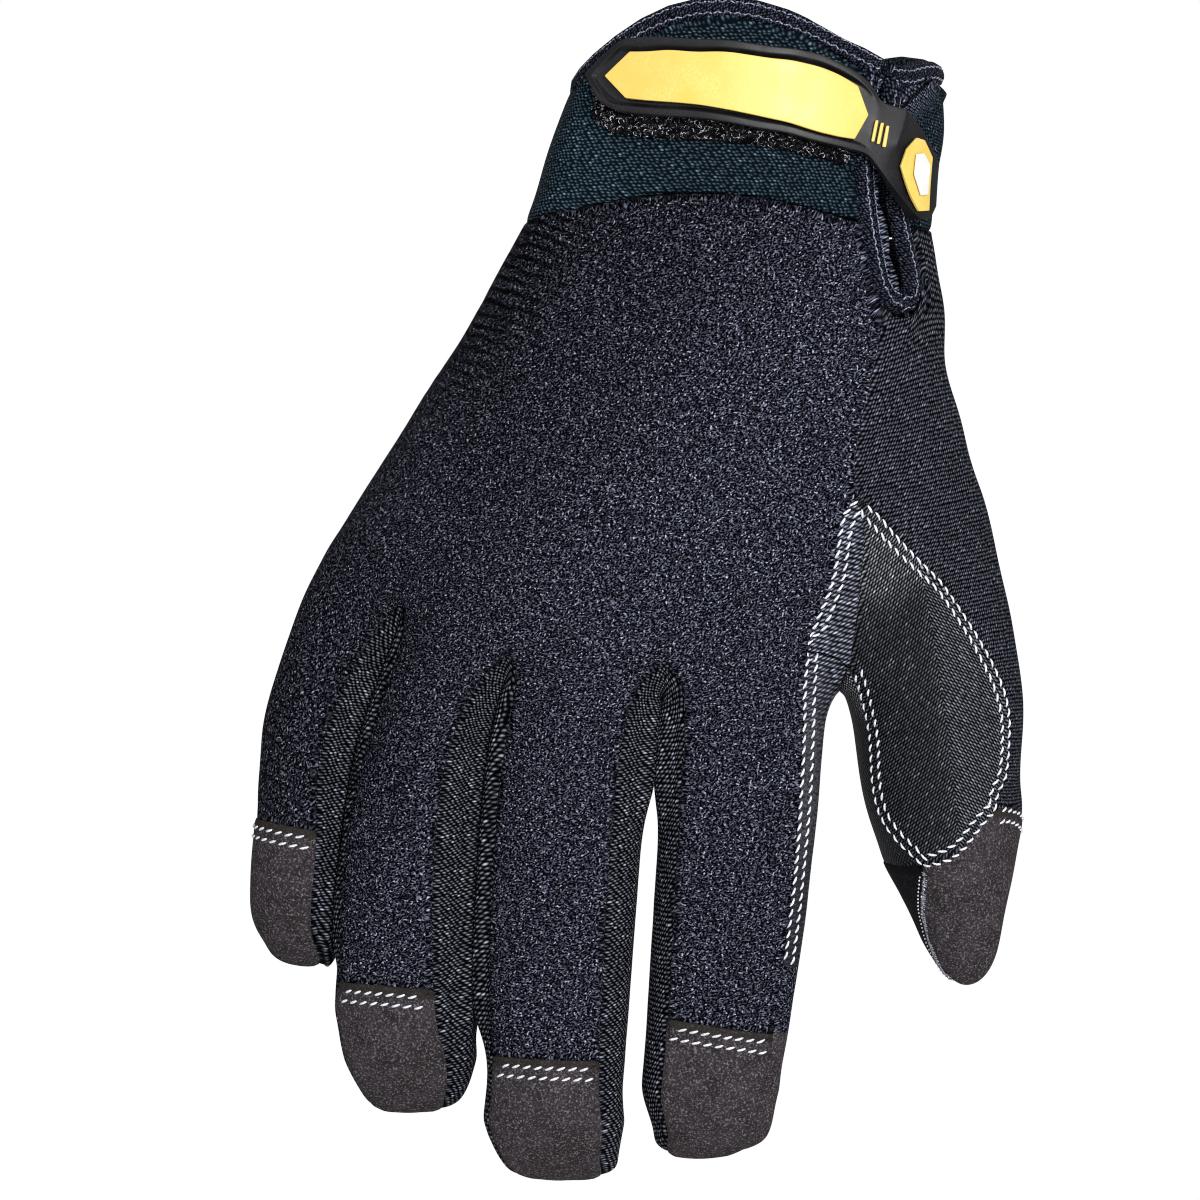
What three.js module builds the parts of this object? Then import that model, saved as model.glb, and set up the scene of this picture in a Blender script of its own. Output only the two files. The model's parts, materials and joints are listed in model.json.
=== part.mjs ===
// A right-hand insulated work glove, filled out as it hangs on an unseen hand: fingers down (-Z), back of the
// hand towards -Y, thumb at +X. Millimetres. The origin is the middle of the wrist opening.
//
// The outer skin starts as one coarse cage of named sections and is rounded by Catmull-Clark steps, fitted so
// that it passes through the sections. Each face of the cage belongs to one cut panel of the glove, and each
// panel becomes a closed wall of its own thickness with a small gap along every seam.
// The strap, its trim and the bindings are then laid on that skin.

import * as THREE from 'three';

// Gaps between two panels sewn together, and between a panel and the binding that wraps its edge.
const SEAM_GAP = 0.3;
const BOUND_GAP = 0.5;

// How square the hand's sections are: 2 is an ellipse.
const SECTION_POWER = 2.3;
const FIT_ROUNDS = 24;

// Seam corners: a mitre grows to at most the seam's shift over this share, and two edges whose cosine is
// above STRAIGHT_SEAM run on as one line.
const SHARPEST_MITRE = 0.35;
const STRAIGHT_SEAM = 0.95;

// Skin that rises from a seam point by more than this slope makes a hollow there.
const HOLLOW_SLOPE = 0.03;

const rad = THREE.MathUtils.degToRad;

const table = (columns, rows) => {
  const names = columns.trim().split(/\s+/);
  return rows.map((row) => Object.fromEntries(names.map((name, i) => [name, row[i]])));
};

// Cut panels: wall is the thickness, proud is how far a piece sewn on top stands out, sunk is how far below
// the skin a piece behind it lies.
const PANELS = table('name wall proud sunk colour roughness', [
  ['back_panel', 3.0, 0, 0, 0x1c1d27, 0.9],
  ['palm_panel', 2.6, 0, 0, 0x35353a, 0.75],
  ['fourchette_little_ring', 2.4, 0, 0, 0x14151c, 0.85],
  ['fourchette_ring_middle', 2.4, 0, 0, 0x14151c, 0.85],
  ['fourchette_middle_index', 2.4, 0, 0, 0x14151c, 0.85],
  ['tip_cap_little', 3.0, 0.7, 0, 0x3b3839, 0.95],
  ['tip_cap_ring', 3.0, 0.7, 0, 0x3b3839, 0.95],
  ['tip_cap_middle', 3.0, 0.7, 0, 0x3b3839, 0.95],
  ['tip_cap_index', 3.0, 0.7, 0, 0x3b3839, 0.95],
  ['thumb_back', 2.8, 0, 0, 0x1a1a22, 0.85],
  ['thumb_pad', 3.0, 0.3, 0, 0x3a3a40, 0.55],
  ['web_patch', 3.0, 0.3, 0, 0x3a3a40, 0.55],
  ['thumb_side', 2.6, 0, 0, 0x2a2a2f, 0.75],
  ['thumb_tip', 2.8, 0.4, 0, 0x343233, 0.95],
  ['thumb_tip_side', 2.8, 0.4, 0, 0x252427, 0.95],
  ['cuff', 3.0, 0, 0, 0x0f1d26, 0.8],
  ['slit_gusset', 1.6, 0, 4.6, 0x101117, 0.9],
]);

// Sections of the cuff and hand down to the knuckles. left and right are the outline seen from the back, seam
// is the thumb-side edge of the back panel, lip is the far lip of the cuff slit and its line down the hand,
// or null below where the thumb leaves the hand. back and palm are the depths on either side of the section's
// middle line, which swings by side towards the palm at the thumb. Each z is the height there: at the left
// edge, middle and seam of the back, at the lip, the side and the palm's middle.
const HAND_SECTIONS = table('name left right seam lip back palm side zLeft zMid zSeam zLip zSide zPalm', [
  ['opening', -41.5, 41.5, 23.5, 29.4, 31.0, 27.0, 5, -2.5, 14.0, 2.5, 1.0, 5.0, 8.0],
  ['cuff', -48.5, 41.5, 21.2, 27.6, 30.5, 27.0, 4, -17.5, -8.0, -13.0, -13.5, -13.0, -13.0],
  ['wrist', -53.8, 38.0, 22.8, 31.0, 29.0, 26.0, 3, -33.5, -28.3, -34.5, -34.0, -34.0, -34.0],
  ['slit_end', -66.3, 41.2, 26.0, 34.6, 27.5, 25.0, 5, -54.0, -51.0, -51.5, -52.0, -52.5, -54.0],
  ['hand', -79.0, 45.0, 22.3, 34.5, 26.0, 25.0, 8, -75.0, -73.0, -72.5, -73.0, -73.5, -74.0],
  ['apex', -92.3, 51.4, 20.0, 38.5, 25.5, 25.0, 11, -95.5, -95.0, -94.7, -93.5, -94.0, -95.0],
  ['knuckle', -101.4, 27.0, 15.0, null, 25.5, 23.0, 4, -107.0, -113.0, -113.0, null, -113.0, -119.0],
  ['crotch', -107.3, 18.0, 9.3, null, 22.0, 18.0, 3, -119.0, -127.0, -129.8, null, -130.0, -138.0],
]);

// How far across the back panel, from the little-finger edge to the seam, the lines between fingers run.
const STRIP_LINES = [0.035, 0.2, 0.42, 0.72, 1];

// Where two fingers part, on the back of the hand and in the palm.
const FINGER_CROTCHES = table('line x y z palmY palmZ', [
  [1, -81.6, -17.0, -117.5, 14, -134],
  [2, -58.2, -21.0, -130.0, 16, -146],
  [3, -23.0, -21.0, -131.6, 16, -147],
]);

// The root of the thumb, round from the web beside the index finger: two sections of six points.
const THUMB_ROOT = table('section point x y z', [
  ['knuckle', 0, 21.5, -11.5, -111.0],
  ['knuckle', 1, 30.5, -10.0, -112.5],
  ['knuckle', 2, 40.2, -5.0, -114.5],
  ['knuckle', 3, 56.2, 13.0, -113.0],
  ['knuckle', 4, 43.0, 30.0, -113.0],
  ['knuckle', 5, 24.0, 26.0, -115.0],
  ['crotch', 0, 19.0, -6.0, -134.0],
  ['crotch', 1, 36.5, -7.5, -135.0],
  ['crotch', 2, 53.8, -1.0, -136.5],
  ['crotch', 3, 60.4, 13.0, -136.5],
  ['crotch', 4, 51.0, 28.0, -137.0],
  ['crotch', 5, 20.5, 19.5, -138.0],
]);

// Thumb sections below the web: an ellipse, the six angles of the seams round it from the middle of the
// front, and how far each seam's point lies below the section's z.
const THUMB_SECTIONS = table('name z x y wide deep angles drops', [
  ['bend', -150, 40.5, 12, 20.0, 17.0, [-46, 3, 52, 94, 138, 222], [0, 0, 0, 0, 0, 0]],
  ['pad', -163, 41.8, 13, 18.2, 15.8, [-50, 2, 47, 93, 138, 222], [5, 2, -3, -2, 0, 4]],
  ['pad_end', -173, 43.2, 14, 16.4, 14.5, [-22, 9, 36, 92, 140, 228], [6.5, 2.5, -6.0, -4, 0, 6]],
  ['tip', -191, 45.8, 16, 11.4, 10.5, [-42, 5, 50, 92, 140, 225], [0, 0, 0, 0, 0, 0]],
]);
const THUMB_END = { x: 48.3, y: 18, z: -206.2, wide: 3.6 };

// Finger sections below the crotch: an ellipse turned by roll, so that the side wall facing the thumb shows,
// and dropping by tilt from the middle to the thumb side. The cap starts at the section named cap.
const FINGERS = [
  {
    name: 'little', line: 0, leftSide: 'back_panel', rightSide: 'fourchette_little_ring',
    end: { x: -107.0, y: 11, z: -202.2, wide: 3.5 },
    sections: table('name z x y wide deep roll tilt', [
      ['base', -147.3, -104.2, 1, 10.7, 12.4, -25, 0],
      ['cap', -170.5, -107.3, 4, 10.0, 11.8, -22, -1.7],
      ['pad', -188.4, -109.0, 8, 9.5, 10.8, -20, 0],
      ['tip', -197.6, -107.9, 10, 7.2, 7.4, -18, 0],
    ]),
  },
  {
    name: 'ring', line: 1, leftSide: 'fourchette_little_ring', rightSide: 'fourchette_ring_middle',
    end: { x: -81.7, y: 12, z: -236.2, wide: 4.8 },
    sections: table('name z x y wide deep roll tilt', [
      ['base', -160.3, -80.1, -1, 14.6, 14.4, -24, 0],
      ['cap', -207.0, -83.5, 6, 15.5, 13.6, -20, -1.5],
      ['pad', -222.1, -82.3, 9, 14.6, 12.4, -18, 0],
      ['tip', -231.4, -81.6, 11, 11.4, 8.4, -16, 0],
    ]),
  },
  {
    name: 'middle', line: 2, leftSide: 'fourchette_ring_middle', rightSide: 'fourchette_middle_index',
    end: { x: -45.9, y: 10.5, z: -251.2, wide: 6.0 },
    sections: table('name z x y wide deep roll tilt', [
      ['base', -161.3, -44.9, -2, 18.3, 15.0, -14, 0],
      ['cap', -223.4, -48.5, 4, 17.2, 14.0, -12, -0.6],
      ['pad', -239.1, -48.0, 7, 15.8, 12.8, -12, 0],
      ['tip', -246.4, -47.3, 9, 12.8, 8.8, -12, 0],
    ]),
  },
  {
    name: 'index', line: 3, leftSide: 'fourchette_middle_index', rightSide: 'palm_panel',
    end: { x: -15.0, y: 10.5, z: -245.9, wide: 5.6 },
    sections: table('name z x y wide deep roll tilt', [
      ['base', -161.3, -6.3, -2, 18.2, 15.0, 2, 0],
      ['cap', -216.0, -11.4, 4, 16.3, 13.8, 6, -2.6],
      ['pad', -233.0, -12.6, 7, 15.2, 12.4, 6, 0],
      ['tip', -241.0, -12.9, 9, 12.2, 8.6, 6, 0],
    ]),
  },
];

// Pieces laid on the cuff. turn is the angle round the cuff's axis from the middle of the back towards the
// thumb, low and high are heights. point pushes the middle of an end outwards to a blunt arrow head, and
// raise is 1 where the whole width stands as high as the rim. columns are shares of the width, with 1 on the
// rim. lift is the height of the underside above the skin.
const CUFF_AXIS = { x: -3, y: -1 };
const LAID_PIECES = [
  {
    name: 'loop_patch', lift: 0.45, thick: 1.5, rim: 0, colour: 0x121216, roughness: 1,
    columns: [[0, 0], [0.5, 0], [1, 0]],
    stations: table('turn low high point raise', [
      [-57, -9.5, 2, 0, 0], [-52, -14, 4, 0, 0], [-39, -14.7, 4, 0, 0], [-26, -15.1, 3, 0, 0],
      [-13, -15.4, 2.5, 0, 0], [-1, -16, 1.5, 0, 0], [12, -17.6, 0, 0, 0], [26, -19.7, -2, 0, 0],
      [36.5, -22, -5, 0, 0],
    ]),
  },
  {
    name: 'closure_strap', lift: 2.55, thick: 2.2, rim: 1.0, colour: 0x17171b, roughness: 0.6,
    columns: [[0, 1], [0.09, 1], [0.14, 0], [0.5, 0], [0.86, 0], [0.91, 1], [1, 1]],
    stations: table('turn low high point raise', [
      [-50.5, -8.8, 6.9, 9.5, 1], [-48, -9.5, 7.2, 9, 1], [-47, -9.8, 7.2, 8.5, 0], [-36, -10.2, 6.8, 3, 0],
      [-24, -10.6, 6.0, 0, 0], [-12, -11.6, 5.5, 0, 0], [-1, -12.8, 4.8, 0, 0], [12, -14.4, 3.6, 0, 0],
      [24, -16.4, 2.0, 0, 0], [36, -18.6, -1.4, 0, 0], [41, -19.3, -3.6, -1, 1], [44, -20.6, -7.4, 0, 1],
      [50, -24.0, -9.6, 0, 1], [57, -28.4, -11.8, 0, 1], [64, -32.0, -14.6, 0, 1], [69.5, -31.8, -17.2, 0, 1],
      [73, -28.6, -19.6, 0, 1],
    ]),
  },
  {
    name: 'strap_plate', lift: 5.3, thick: 1.2, rim: 0, colour: 0xffd24f, roughness: 0.5,
    columns: [[0, 0], [0.5, 0], [1, 0]],
    stations: table('turn low high point raise', [
      [-45.2, -6.7, 4.5, 6.4, 0], [-34, -7.2, 4.2, 2, 0], [-23.5, -7.8, 3.5, 0, 0], [-12, -8.9, 3.0, 0, 0],
      [-1, -10.1, 2.2, 0, 0], [11, -12.0, 0.9, 0, 0], [22.7, -14.0, -0.8, 0, 0], [30, -15.4, -2.6, -1.5, 0],
      [35.4, -16.0, -4.3, -3.6, 0],
    ]),
  },
  {
    name: 'strap_badge', lift: 6.1, thick: 0.9, rim: 0, colour: 0xffd24f, roughness: 0.5,
    columns: [[0, 0], [0.5, 0], [1, 0]],
    stations: table('turn low high point raise', [
      [52.5, -21.2, -17.8, 0, 0], [57, -26.8, -15.4, 0, 0], [61.5, -30.4, -15.6, 0, 0],
      [66.5, -30.0, -18.6, 0, 0],
    ]),
  },
  {
    name: 'strap_badge_face', lift: 7.35, thick: 0.5, rim: 0, colour: 0xeeeeea, roughness: 0.5,
    columns: [[0, 0], [0.5, 0], [1, 0]],
    stations: table('turn low high point raise', [
      [56.5, -22.8, -18.6, 0, 0], [60.5, -27.0, -18.2, 0, 0], [64, -26.6, -20.4, 0, 0],
    ]),
  },
];

// Three short bars across the strap, each over two half turns.
const STRAP_BARS = table('turn low high', [[42.6, -16.8, -11.7], [44.9, -17.3, -12.4], [47.2, -17.9, -13.1]]);
const BAR_HALF_TURN = 0.7;
const BAR_LIFT = 6.1;
const BAR_THICK = 0.7;

// The widest turn between two rows of a laid piece, and how far past the edge of the cuff one may stand.
const WIDEST_TURN = 7;
const HIGHEST_CARRY = 12;
const CARRY_STEP = 0.5;

// Bindings: the tape's section in half widths and half depths, and its steps. trim is how much shorter than
// the edge it ends, or longer where it is below 0, and rounded is how far it cuts the corners of the edge.
const BINDING_WIDTH = 4.6;
const BINDING_DEPTH = 4.8;
const BINDING_SECTION = [[0, 1], [1, 0.5], [1, -0.5], [0, -1], [-1, -0.5], [-1, 0.5]];
const CUFF_BINDING = { trim: -2.2, step: 6.5, rounded: 0 };
const SLIT_BINDING = { trim: 3.2, step: 3.9, rounded: 0.3 };

// Seam corners of a finger, in degrees round it from the middle of its back.

const BACK_CORNER = 49;
const PALM_CORNER = 137;
const SIDE_MIDDLE = 92;

// Columns of the cage across the back, the palm and the thumb.
const BACK = ['back0', 'back1', 'back2', 'back3', 'back4'];
const PALM = ['palm4', 'palm3', 'palm2', 'palm1', 'palm0'];
const THUMB = ['thumb0', 'thumb1', 'thumb2', 'thumb3', 'thumb4', 'thumb5'];

// The cage

const cage = { points: [], faces: [] };
const indexOf = new Map();

function point(name, x, y, z) {
  indexOf.set(name, cage.points.length);
  cage.points.push(new THREE.Vector3(x, y, z));
}

function face(panel, names) {
  cage.faces.push({ panel, ids: names.map((name) => indexOf.get(name)) });
}

// One face between each two neighbouring columns of an upper and a lower ring, all the way round.
function band(upper, lower, panels) {
  upper.forEach((name, i) => {
    const next = (i + 1) % upper.length;
    face(panels[i], [name, lower[i], lower[next], upper[next]]);
  });
}

// A point of a section at x: on the back where side is -1, in the palm where it is 1.
function sectionPoint(section, x, side) {
  const half = (section.right - section.left) / 2;
  const across = (place) => (place - (section.left + section.right) / 2) / half;
  const u = across(x);
  const middleLine = section.side * ((u + 1) / 2) ** 2;
  const bulge = Math.max(0, 1 - Math.abs(u) ** SECTION_POWER) ** (1 / SECTION_POWER);
  const [end, zMid, zEnd] = side < 0
    ? [across(section.seam), section.zMid, section.zSeam]
    : [1, section.zPalm, section.zSide];
  const arch = ((section.zLeft - zMid) * end + zEnd - zMid) / (end + end * end);
  const slope = arch - (section.zLeft - zMid);
  const depth = side < 0 ? section.back : section.palm;
  return [x, middleLine + side * depth * bulge, zMid + slope * u + arch * u * u];
}

function placeHand() {
  for (const section of HAND_SECTIONS) {
    STRIP_LINES.forEach((share, line) => {
      const x = section.left + share * (section.seam - section.left);
      point(`back${line}@${section.name}`, ...sectionPoint(section, x, -1));
      point(`palm${line}@${section.name}`, ...sectionPoint(section, x, 1));
    });
    if (section.lip !== null) {
      const [x, y] = sectionPoint(section, section.lip, -1);
      point(`lip@${section.name}`, x, y, section.zLip);
      point(`side@${section.name}`, section.right, section.side, section.zSide);
    }
  }
  for (const { line, x, y, z, palmY, palmZ } of FINGER_CROTCHES) {
    cage.points[indexOf.get(`back${line}@crotch`)].set(x, y, z);
    cage.points[indexOf.get(`palm${line}@crotch`)].set(x, palmY, palmZ);
  }
  for (const root of THUMB_ROOT) point(`thumb${root.point}@${root.section}`, root.x, root.y, root.z);
}

const ring = (columns, section) => columns.map((column) => `${column}@${section}`);
const repeated = (count, value) => Array(count).fill(value);

function joinHand() {
  const whole = [...BACK, 'lip', 'side', ...PALM];
  const neoprene = [...repeated(4, 'cuff'), 'slit_gusset', ...repeated(7, 'cuff')];
  const hand = (beside) => [
    ...repeated(4, 'back_panel'), beside, ...repeated(2, 'thumb_back'),
    ...repeated(4, 'palm_panel'), 'back_panel',
  ];
  band(ring(whole, 'opening'), ring(whole, 'cuff'), neoprene);
  band(ring(whole, 'cuff'), ring(whole, 'wrist'), neoprene);
  band(ring(whole, 'wrist'), ring(whole, 'slit_end'), hand('slit_gusset'));
  band(ring(whole, 'slit_end'), ring(whole, 'hand'), hand('thumb_back'));
  band(ring(whole, 'hand'), ring(whole, 'apex'), hand('thumb_back'));

  const strips = (columns, panel) => {
    for (let i = 0; i + 1 < columns.length; i++) {
      const [upper, next] = [`${columns[i]}@apex`, `${columns[i + 1]}@apex`];
      face(panel, [upper, `${columns[i]}@knuckle`, `${columns[i + 1]}@knuckle`, next]);
    }
  };
  strips(BACK, 'back_panel');
  strips(PALM, 'palm_panel');
  strips(['palm0', 'back0'], 'back_panel');
  face('web_patch', ['back4@apex', 'back4@knuckle', 'thumb0@knuckle']);
  face('thumb_pad', ['back4@apex', 'thumb0@knuckle', 'thumb1@knuckle', 'thumb2@knuckle']);
  face('thumb_back', ['back4@apex', 'thumb2@knuckle', 'lip@apex']);
  face('thumb_back', ['lip@apex', 'thumb2@knuckle', 'thumb3@knuckle', 'side@apex']);
  face('thumb_back', ['side@apex', 'thumb3@knuckle', 'thumb4@knuckle', 'palm4@apex']);
  face('palm_panel', ['palm4@apex', 'thumb4@knuckle', 'thumb5@knuckle', 'palm4@knuckle']);

  const all = [...BACK, ...THUMB, ...PALM];
  band(ring(all, 'knuckle'), ring(all, 'crotch'), [
    ...repeated(4, 'back_panel'), 'web_patch', ...repeated(2, 'thumb_pad'), ...repeated(2, 'thumb_back'),
    ...repeated(6, 'palm_panel'), 'back_panel',
  ]);
}

function ellipsePoint(section, angle, drop) {
  const turned = rad(angle + (section.roll ?? 0));
  const across = Math.sin(turned);
  const z = section.z + (section.tilt ?? 0) * across - drop;
  return [section.x + section.wide * across, section.y - section.deep * Math.cos(turned), z];
}

function buildFinger({ name, line, leftSide, rightSide, end, sections }) {
  const isIndex = name === 'index';
  const cap = `tip_cap_${name}`;
  const angles = {
    left: -BACK_CORNER,
    right: BACK_CORNER,
    ...(isIndex && { side: SIDE_MIDDLE }),
    palmRight: PALM_CORNER,
    palmLeft: -PALM_CORNER,
  };
  const corners = Object.keys(angles);
  const at = (corner, section) => `${name}.${corner}@${section}`;
  let capped = false;
  let upper = null;
  for (const section of sections) {
    for (const corner of corners) {
      point(at(corner, section.name), ...ellipsePoint(section, angles[corner], 0));
    }
    const lower = corners.map((corner) => at(corner, section.name));
    const ulnar = capped && leftSide === 'back_panel' ? cap : leftSide;
    const sides = isIndex ? [rightSide, rightSide] : [rightSide];
    if (upper) {
      band(upper, lower, [capped ? cap : 'back_panel', ...sides, 'palm_panel', ulnar]);
    } else if (isIndex) {
      const start = ring(['back3', 'back4', 'thumb0', 'thumb5', 'palm4', 'palm3'], 'crotch');
      face('back_panel', [start[0], lower[0], lower[1], start[1]]);
      face(rightSide, [start[1], lower[1], lower[2], start[2]]);
      face(rightSide, [start[2], lower[2], start[3]]);
      face(rightSide, [start[3], lower[2], lower[3], start[4]]);
      face('palm_panel', [start[4], lower[3], lower[4], start[5]]);
      face(leftSide, [start[5], lower[4], lower[0], start[0]]);
    } else {
      const start = ring([`back${line}`, `back${line + 1}`, `palm${line + 1}`, `palm${line}`], 'crotch');
      band(start, lower, ['back_panel', rightSide, 'palm_panel', leftSide]);
    }
    capped ||= section.name === 'cap';
    upper = lower;
  }
  point(at('left', 'end'), end.x - end.wide, end.y, end.z);
  point(at('right', 'end'), end.x + end.wide, end.y, end.z);
  const [left, right] = [at('left', 'end'), at('right', 'end')];
  const last = (corner) => at(corner, 'tip');
  face(cap, [last('left'), left, right, last('right')]);
  face('palm_panel', [last('palmRight'), right, left, last('palmLeft')]);
  const rightCorners = isIndex ? ['side', 'right'] : ['right'];
  face(rightSide, [...rightCorners.map(last), right, last('palmRight')]);
  face(leftSide === 'back_panel' ? cap : leftSide, [last('palmLeft'), left, last('left')]);
}

function buildThumb() {
  const panels = ['thumb_pad', 'thumb_pad', 'thumb_back', 'thumb_back', 'palm_panel', 'thumb_side'];
  const tipPanels = [...repeated(5, 'thumb_tip'), 'thumb_tip_side'];
  let upper = ring(THUMB, 'crotch');
  for (const section of THUMB_SECTIONS) {
    const lower = ring(THUMB, section.name);
    lower.forEach((name, i) => point(name, ...ellipsePoint(section, section.angles[i], section.drops[i])));
    band(upper, lower, section.name === 'tip' ? tipPanels : panels);
    upper = lower;
  }
  point('thumb_end0', THUMB_END.x - THUMB_END.wide, THUMB_END.y, THUMB_END.z);
  point('thumb_end1', THUMB_END.x + THUMB_END.wide, THUMB_END.y, THUMB_END.z);
  const ends = [['thumb_end0'], ['thumb_end0', 'thumb_end1'], ['thumb_end1'], ['thumb_end1'],
    ['thumb_end1', 'thumb_end0'], ['thumb_end0']];
  upper.forEach((name, i) => face(tipPanels[i], [name, ...ends[i], upper[(i + 1) % upper.length]]));
}

// One Catmull-Clark step. A mesh keeps its own points first in the list of the finer one, and middle gives
// the new point on the edge between two old ones.
function subdivide(mesh) {
  const edges = new Map();
  const key = (a, b) => (a < b ? `${a}_${b}` : `${b}_${a}`);
  const faceMiddles = mesh.faces.map(({ ids }) => {
    const middle = new THREE.Vector3();
    ids.forEach((id) => middle.addScaledVector(mesh.points[id], 1 / ids.length));
    return middle;
  });
  const around = mesh.points.map(() => ({ faces: [], edges: [] }));
  mesh.faces.forEach(({ ids }, f) => {
    ids.forEach((id, i) => {
      const next = ids[(i + 1) % ids.length];
      around[id].faces.push(f);
      if (!edges.has(key(id, next))) {
        const edge = { ends: [id, next], faces: [] };
        edges.set(key(id, next), edge);
        around[id].edges.push(edge);
        around[next].edges.push(edge);
      }
      edges.get(key(id, next)).faces.push(f);
    });
  });
  const half = ({ ends }) => mesh.points[ends[0]].clone().add(mesh.points[ends[1]]).multiplyScalar(0.5);
  const points = mesh.points.map((old, id) => {
    const { faces, edges: spokes } = around[id];
    const rims = spokes.filter((edge) => edge.faces.length === 1);
    const moved = new THREE.Vector3();
    if (rims.length) {
      rims.forEach((edge) => moved.addScaledVector(half(edge), 1 / 4));
      return moved.addScaledVector(old, 1 / 2);
    }
    const count = spokes.length;
    faces.forEach((f) => moved.addScaledVector(faceMiddles[f], 1 / count ** 2));
    spokes.forEach((edge) => moved.addScaledVector(half(edge), 2 / count ** 2));
    return moved.addScaledVector(old, (count - 3) / count);
  });
  for (const edge of edges.values()) {
    const middle = half(edge);
    if (edge.faces.length === 2) {
      middle.add(faceMiddles[edge.faces[0]].clone().add(faceMiddles[edge.faces[1]]).multiplyScalar(0.5));
      middle.multiplyScalar(0.5);
    }
    edge.index = points.length;
    points.push(middle);
  }
  const middle = (a, b) => edges.get(key(a, b)).index;
  const faces = [];
  mesh.faces.forEach(({ panel, ids }, f) => {
    const centre = points.length;
    points.push(faceMiddles[f]);
    ids.forEach((id, i) => {
      const before = ids[(i + ids.length - 1) % ids.length];
      faces.push({ panel, ids: [id, middle(id, ids[(i + 1) % ids.length]), centre, middle(before, id)] });
    });
  });
  return { points, faces, middle };
}

// Moves the cage until the rounded skin passes through the points that the sections gave.
function fitCage() {
  const targets = cage.points.map((old) => old.clone());
  for (let round = 0; round < FIT_ROUNDS; round++) {
    const rounded = subdivide(subdivide(cage)).points;
    cage.points.forEach((moved, i) => moved.add(targets[i]).sub(rounded[i]));
  }
}

function vertexNormals(mesh) {
  const normals = mesh.points.map(() => new THREE.Vector3());
  for (const { ids } of mesh.faces) {
    const [a, b, c, d] = ids.map((id) => mesh.points[id]);
    const normal = c.clone().sub(a).cross(d.clone().sub(b));
    ids.forEach((id) => normals[id].add(normal));
  }
  return normals.map((normal) => normal.normalize());
}

placeHand();
joinHand();
FINGERS.forEach(buildFinger);
buildThumb();
fitCage();
const coarse = subdivide(cage);
const skin = subdivide(coarse);
const skinNormals = vertexNormals(skin);

// Solids from lists of points and triangles

const glove = new THREE.Group();

function addSolid(name, points, triangles, { colour, roughness }) {
  const geometry = new THREE.BufferGeometry();
  geometry.setAttribute('position', new THREE.Float32BufferAttribute(points.flatMap((p) => p.toArray()), 3));
  geometry.setIndex(triangles.flat());
  geometry.computeVertexNormals();
  const material = new THREE.MeshStandardMaterial({ color: colour, roughness, metalness: 0 });
  const mesh = new THREE.Mesh(geometry, material);
  mesh.name = name;
  glove.add(mesh);
}

// A quad is cut along its longer diagonal.
function cutQuad(points, [a, b, c, d]) {
  const along = points[a].distanceTo(points[c]) > points[b].distanceTo(points[d]);
  return along ? [[a, b, c], [a, c, d]] : [[a, b, d], [b, c, d]];
}

// How far each seam point of a panel moves into the panel: half a seam gap, or half a binding and a gap where
// the edge is bound.
function seamShifts(faces, bound) {
  const inside = new Map();
  const edgeKey = (a, b) => `${a}>${b}`;
  const own = new Set(faces.flatMap(({ ids }) => ids.map((id, i) => edgeKey(id, ids[(i + 1) % 4]))));
  for (const { ids } of faces) {
    ids.forEach((a, i) => {
      const b = ids[(i + 1) % 4];
      if (own.has(edgeKey(b, a))) return;
      const normal = skinNormals[a].clone().add(skinNormals[b]);
      const inward = normal.cross(skin.points[b].clone().sub(skin.points[a])).normalize();
      const pull = bound(a, b) ? BINDING_WIDTH / 2 + BOUND_GAP : SEAM_GAP / 2;
      for (const id of [a, b]) inside.set(id, [...(inside.get(id) ?? []), { inward, pull }]);
    });
  }
  const shifts = new Map();
  for (const [id, [first, second]] of inside) {
    const cosine = first.inward.dot(second.inward);
    const share = Math.max(SHARPEST_MITRE, 1 - cosine ** 2);
    const shift = new THREE.Vector3();
    if (cosine > STRAIGHT_SEAM) {
      shift.add(first.inward).add(second.inward).setLength(Math.max(first.pull, second.pull));
    } else {
      shift.addScaledVector(first.inward, (first.pull - second.pull * cosine) / share);
      shift.addScaledVector(second.inward, (second.pull - first.pull * cosine) / share);
    }
    shifts.set(id, shift);
  }
  return shifts;
}

const ownerOf = new Map();
for (const { panel, ids } of skin.faces) {
  ids.forEach((id, i) => ownerOf.set(`${id}>${ids[(i + 1) % 4]}`, panel));
}

// Whether the skin of other panels rises past the point, so that a raised edge there would run into them.
function liesInHollow(id, name) {
  return skin.faces.some((item) => {
    if (item.panel === name || !item.ids.includes(id)) return false;
    const middle = new THREE.Vector3();
    item.ids.forEach((corner) => middle.addScaledVector(skin.points[corner], 1 / 4));
    const away = middle.sub(skin.points[id]);
    return away.dot(skinNormals[id]) > HOLLOW_SLOPE * away.length();
  });
}

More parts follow.
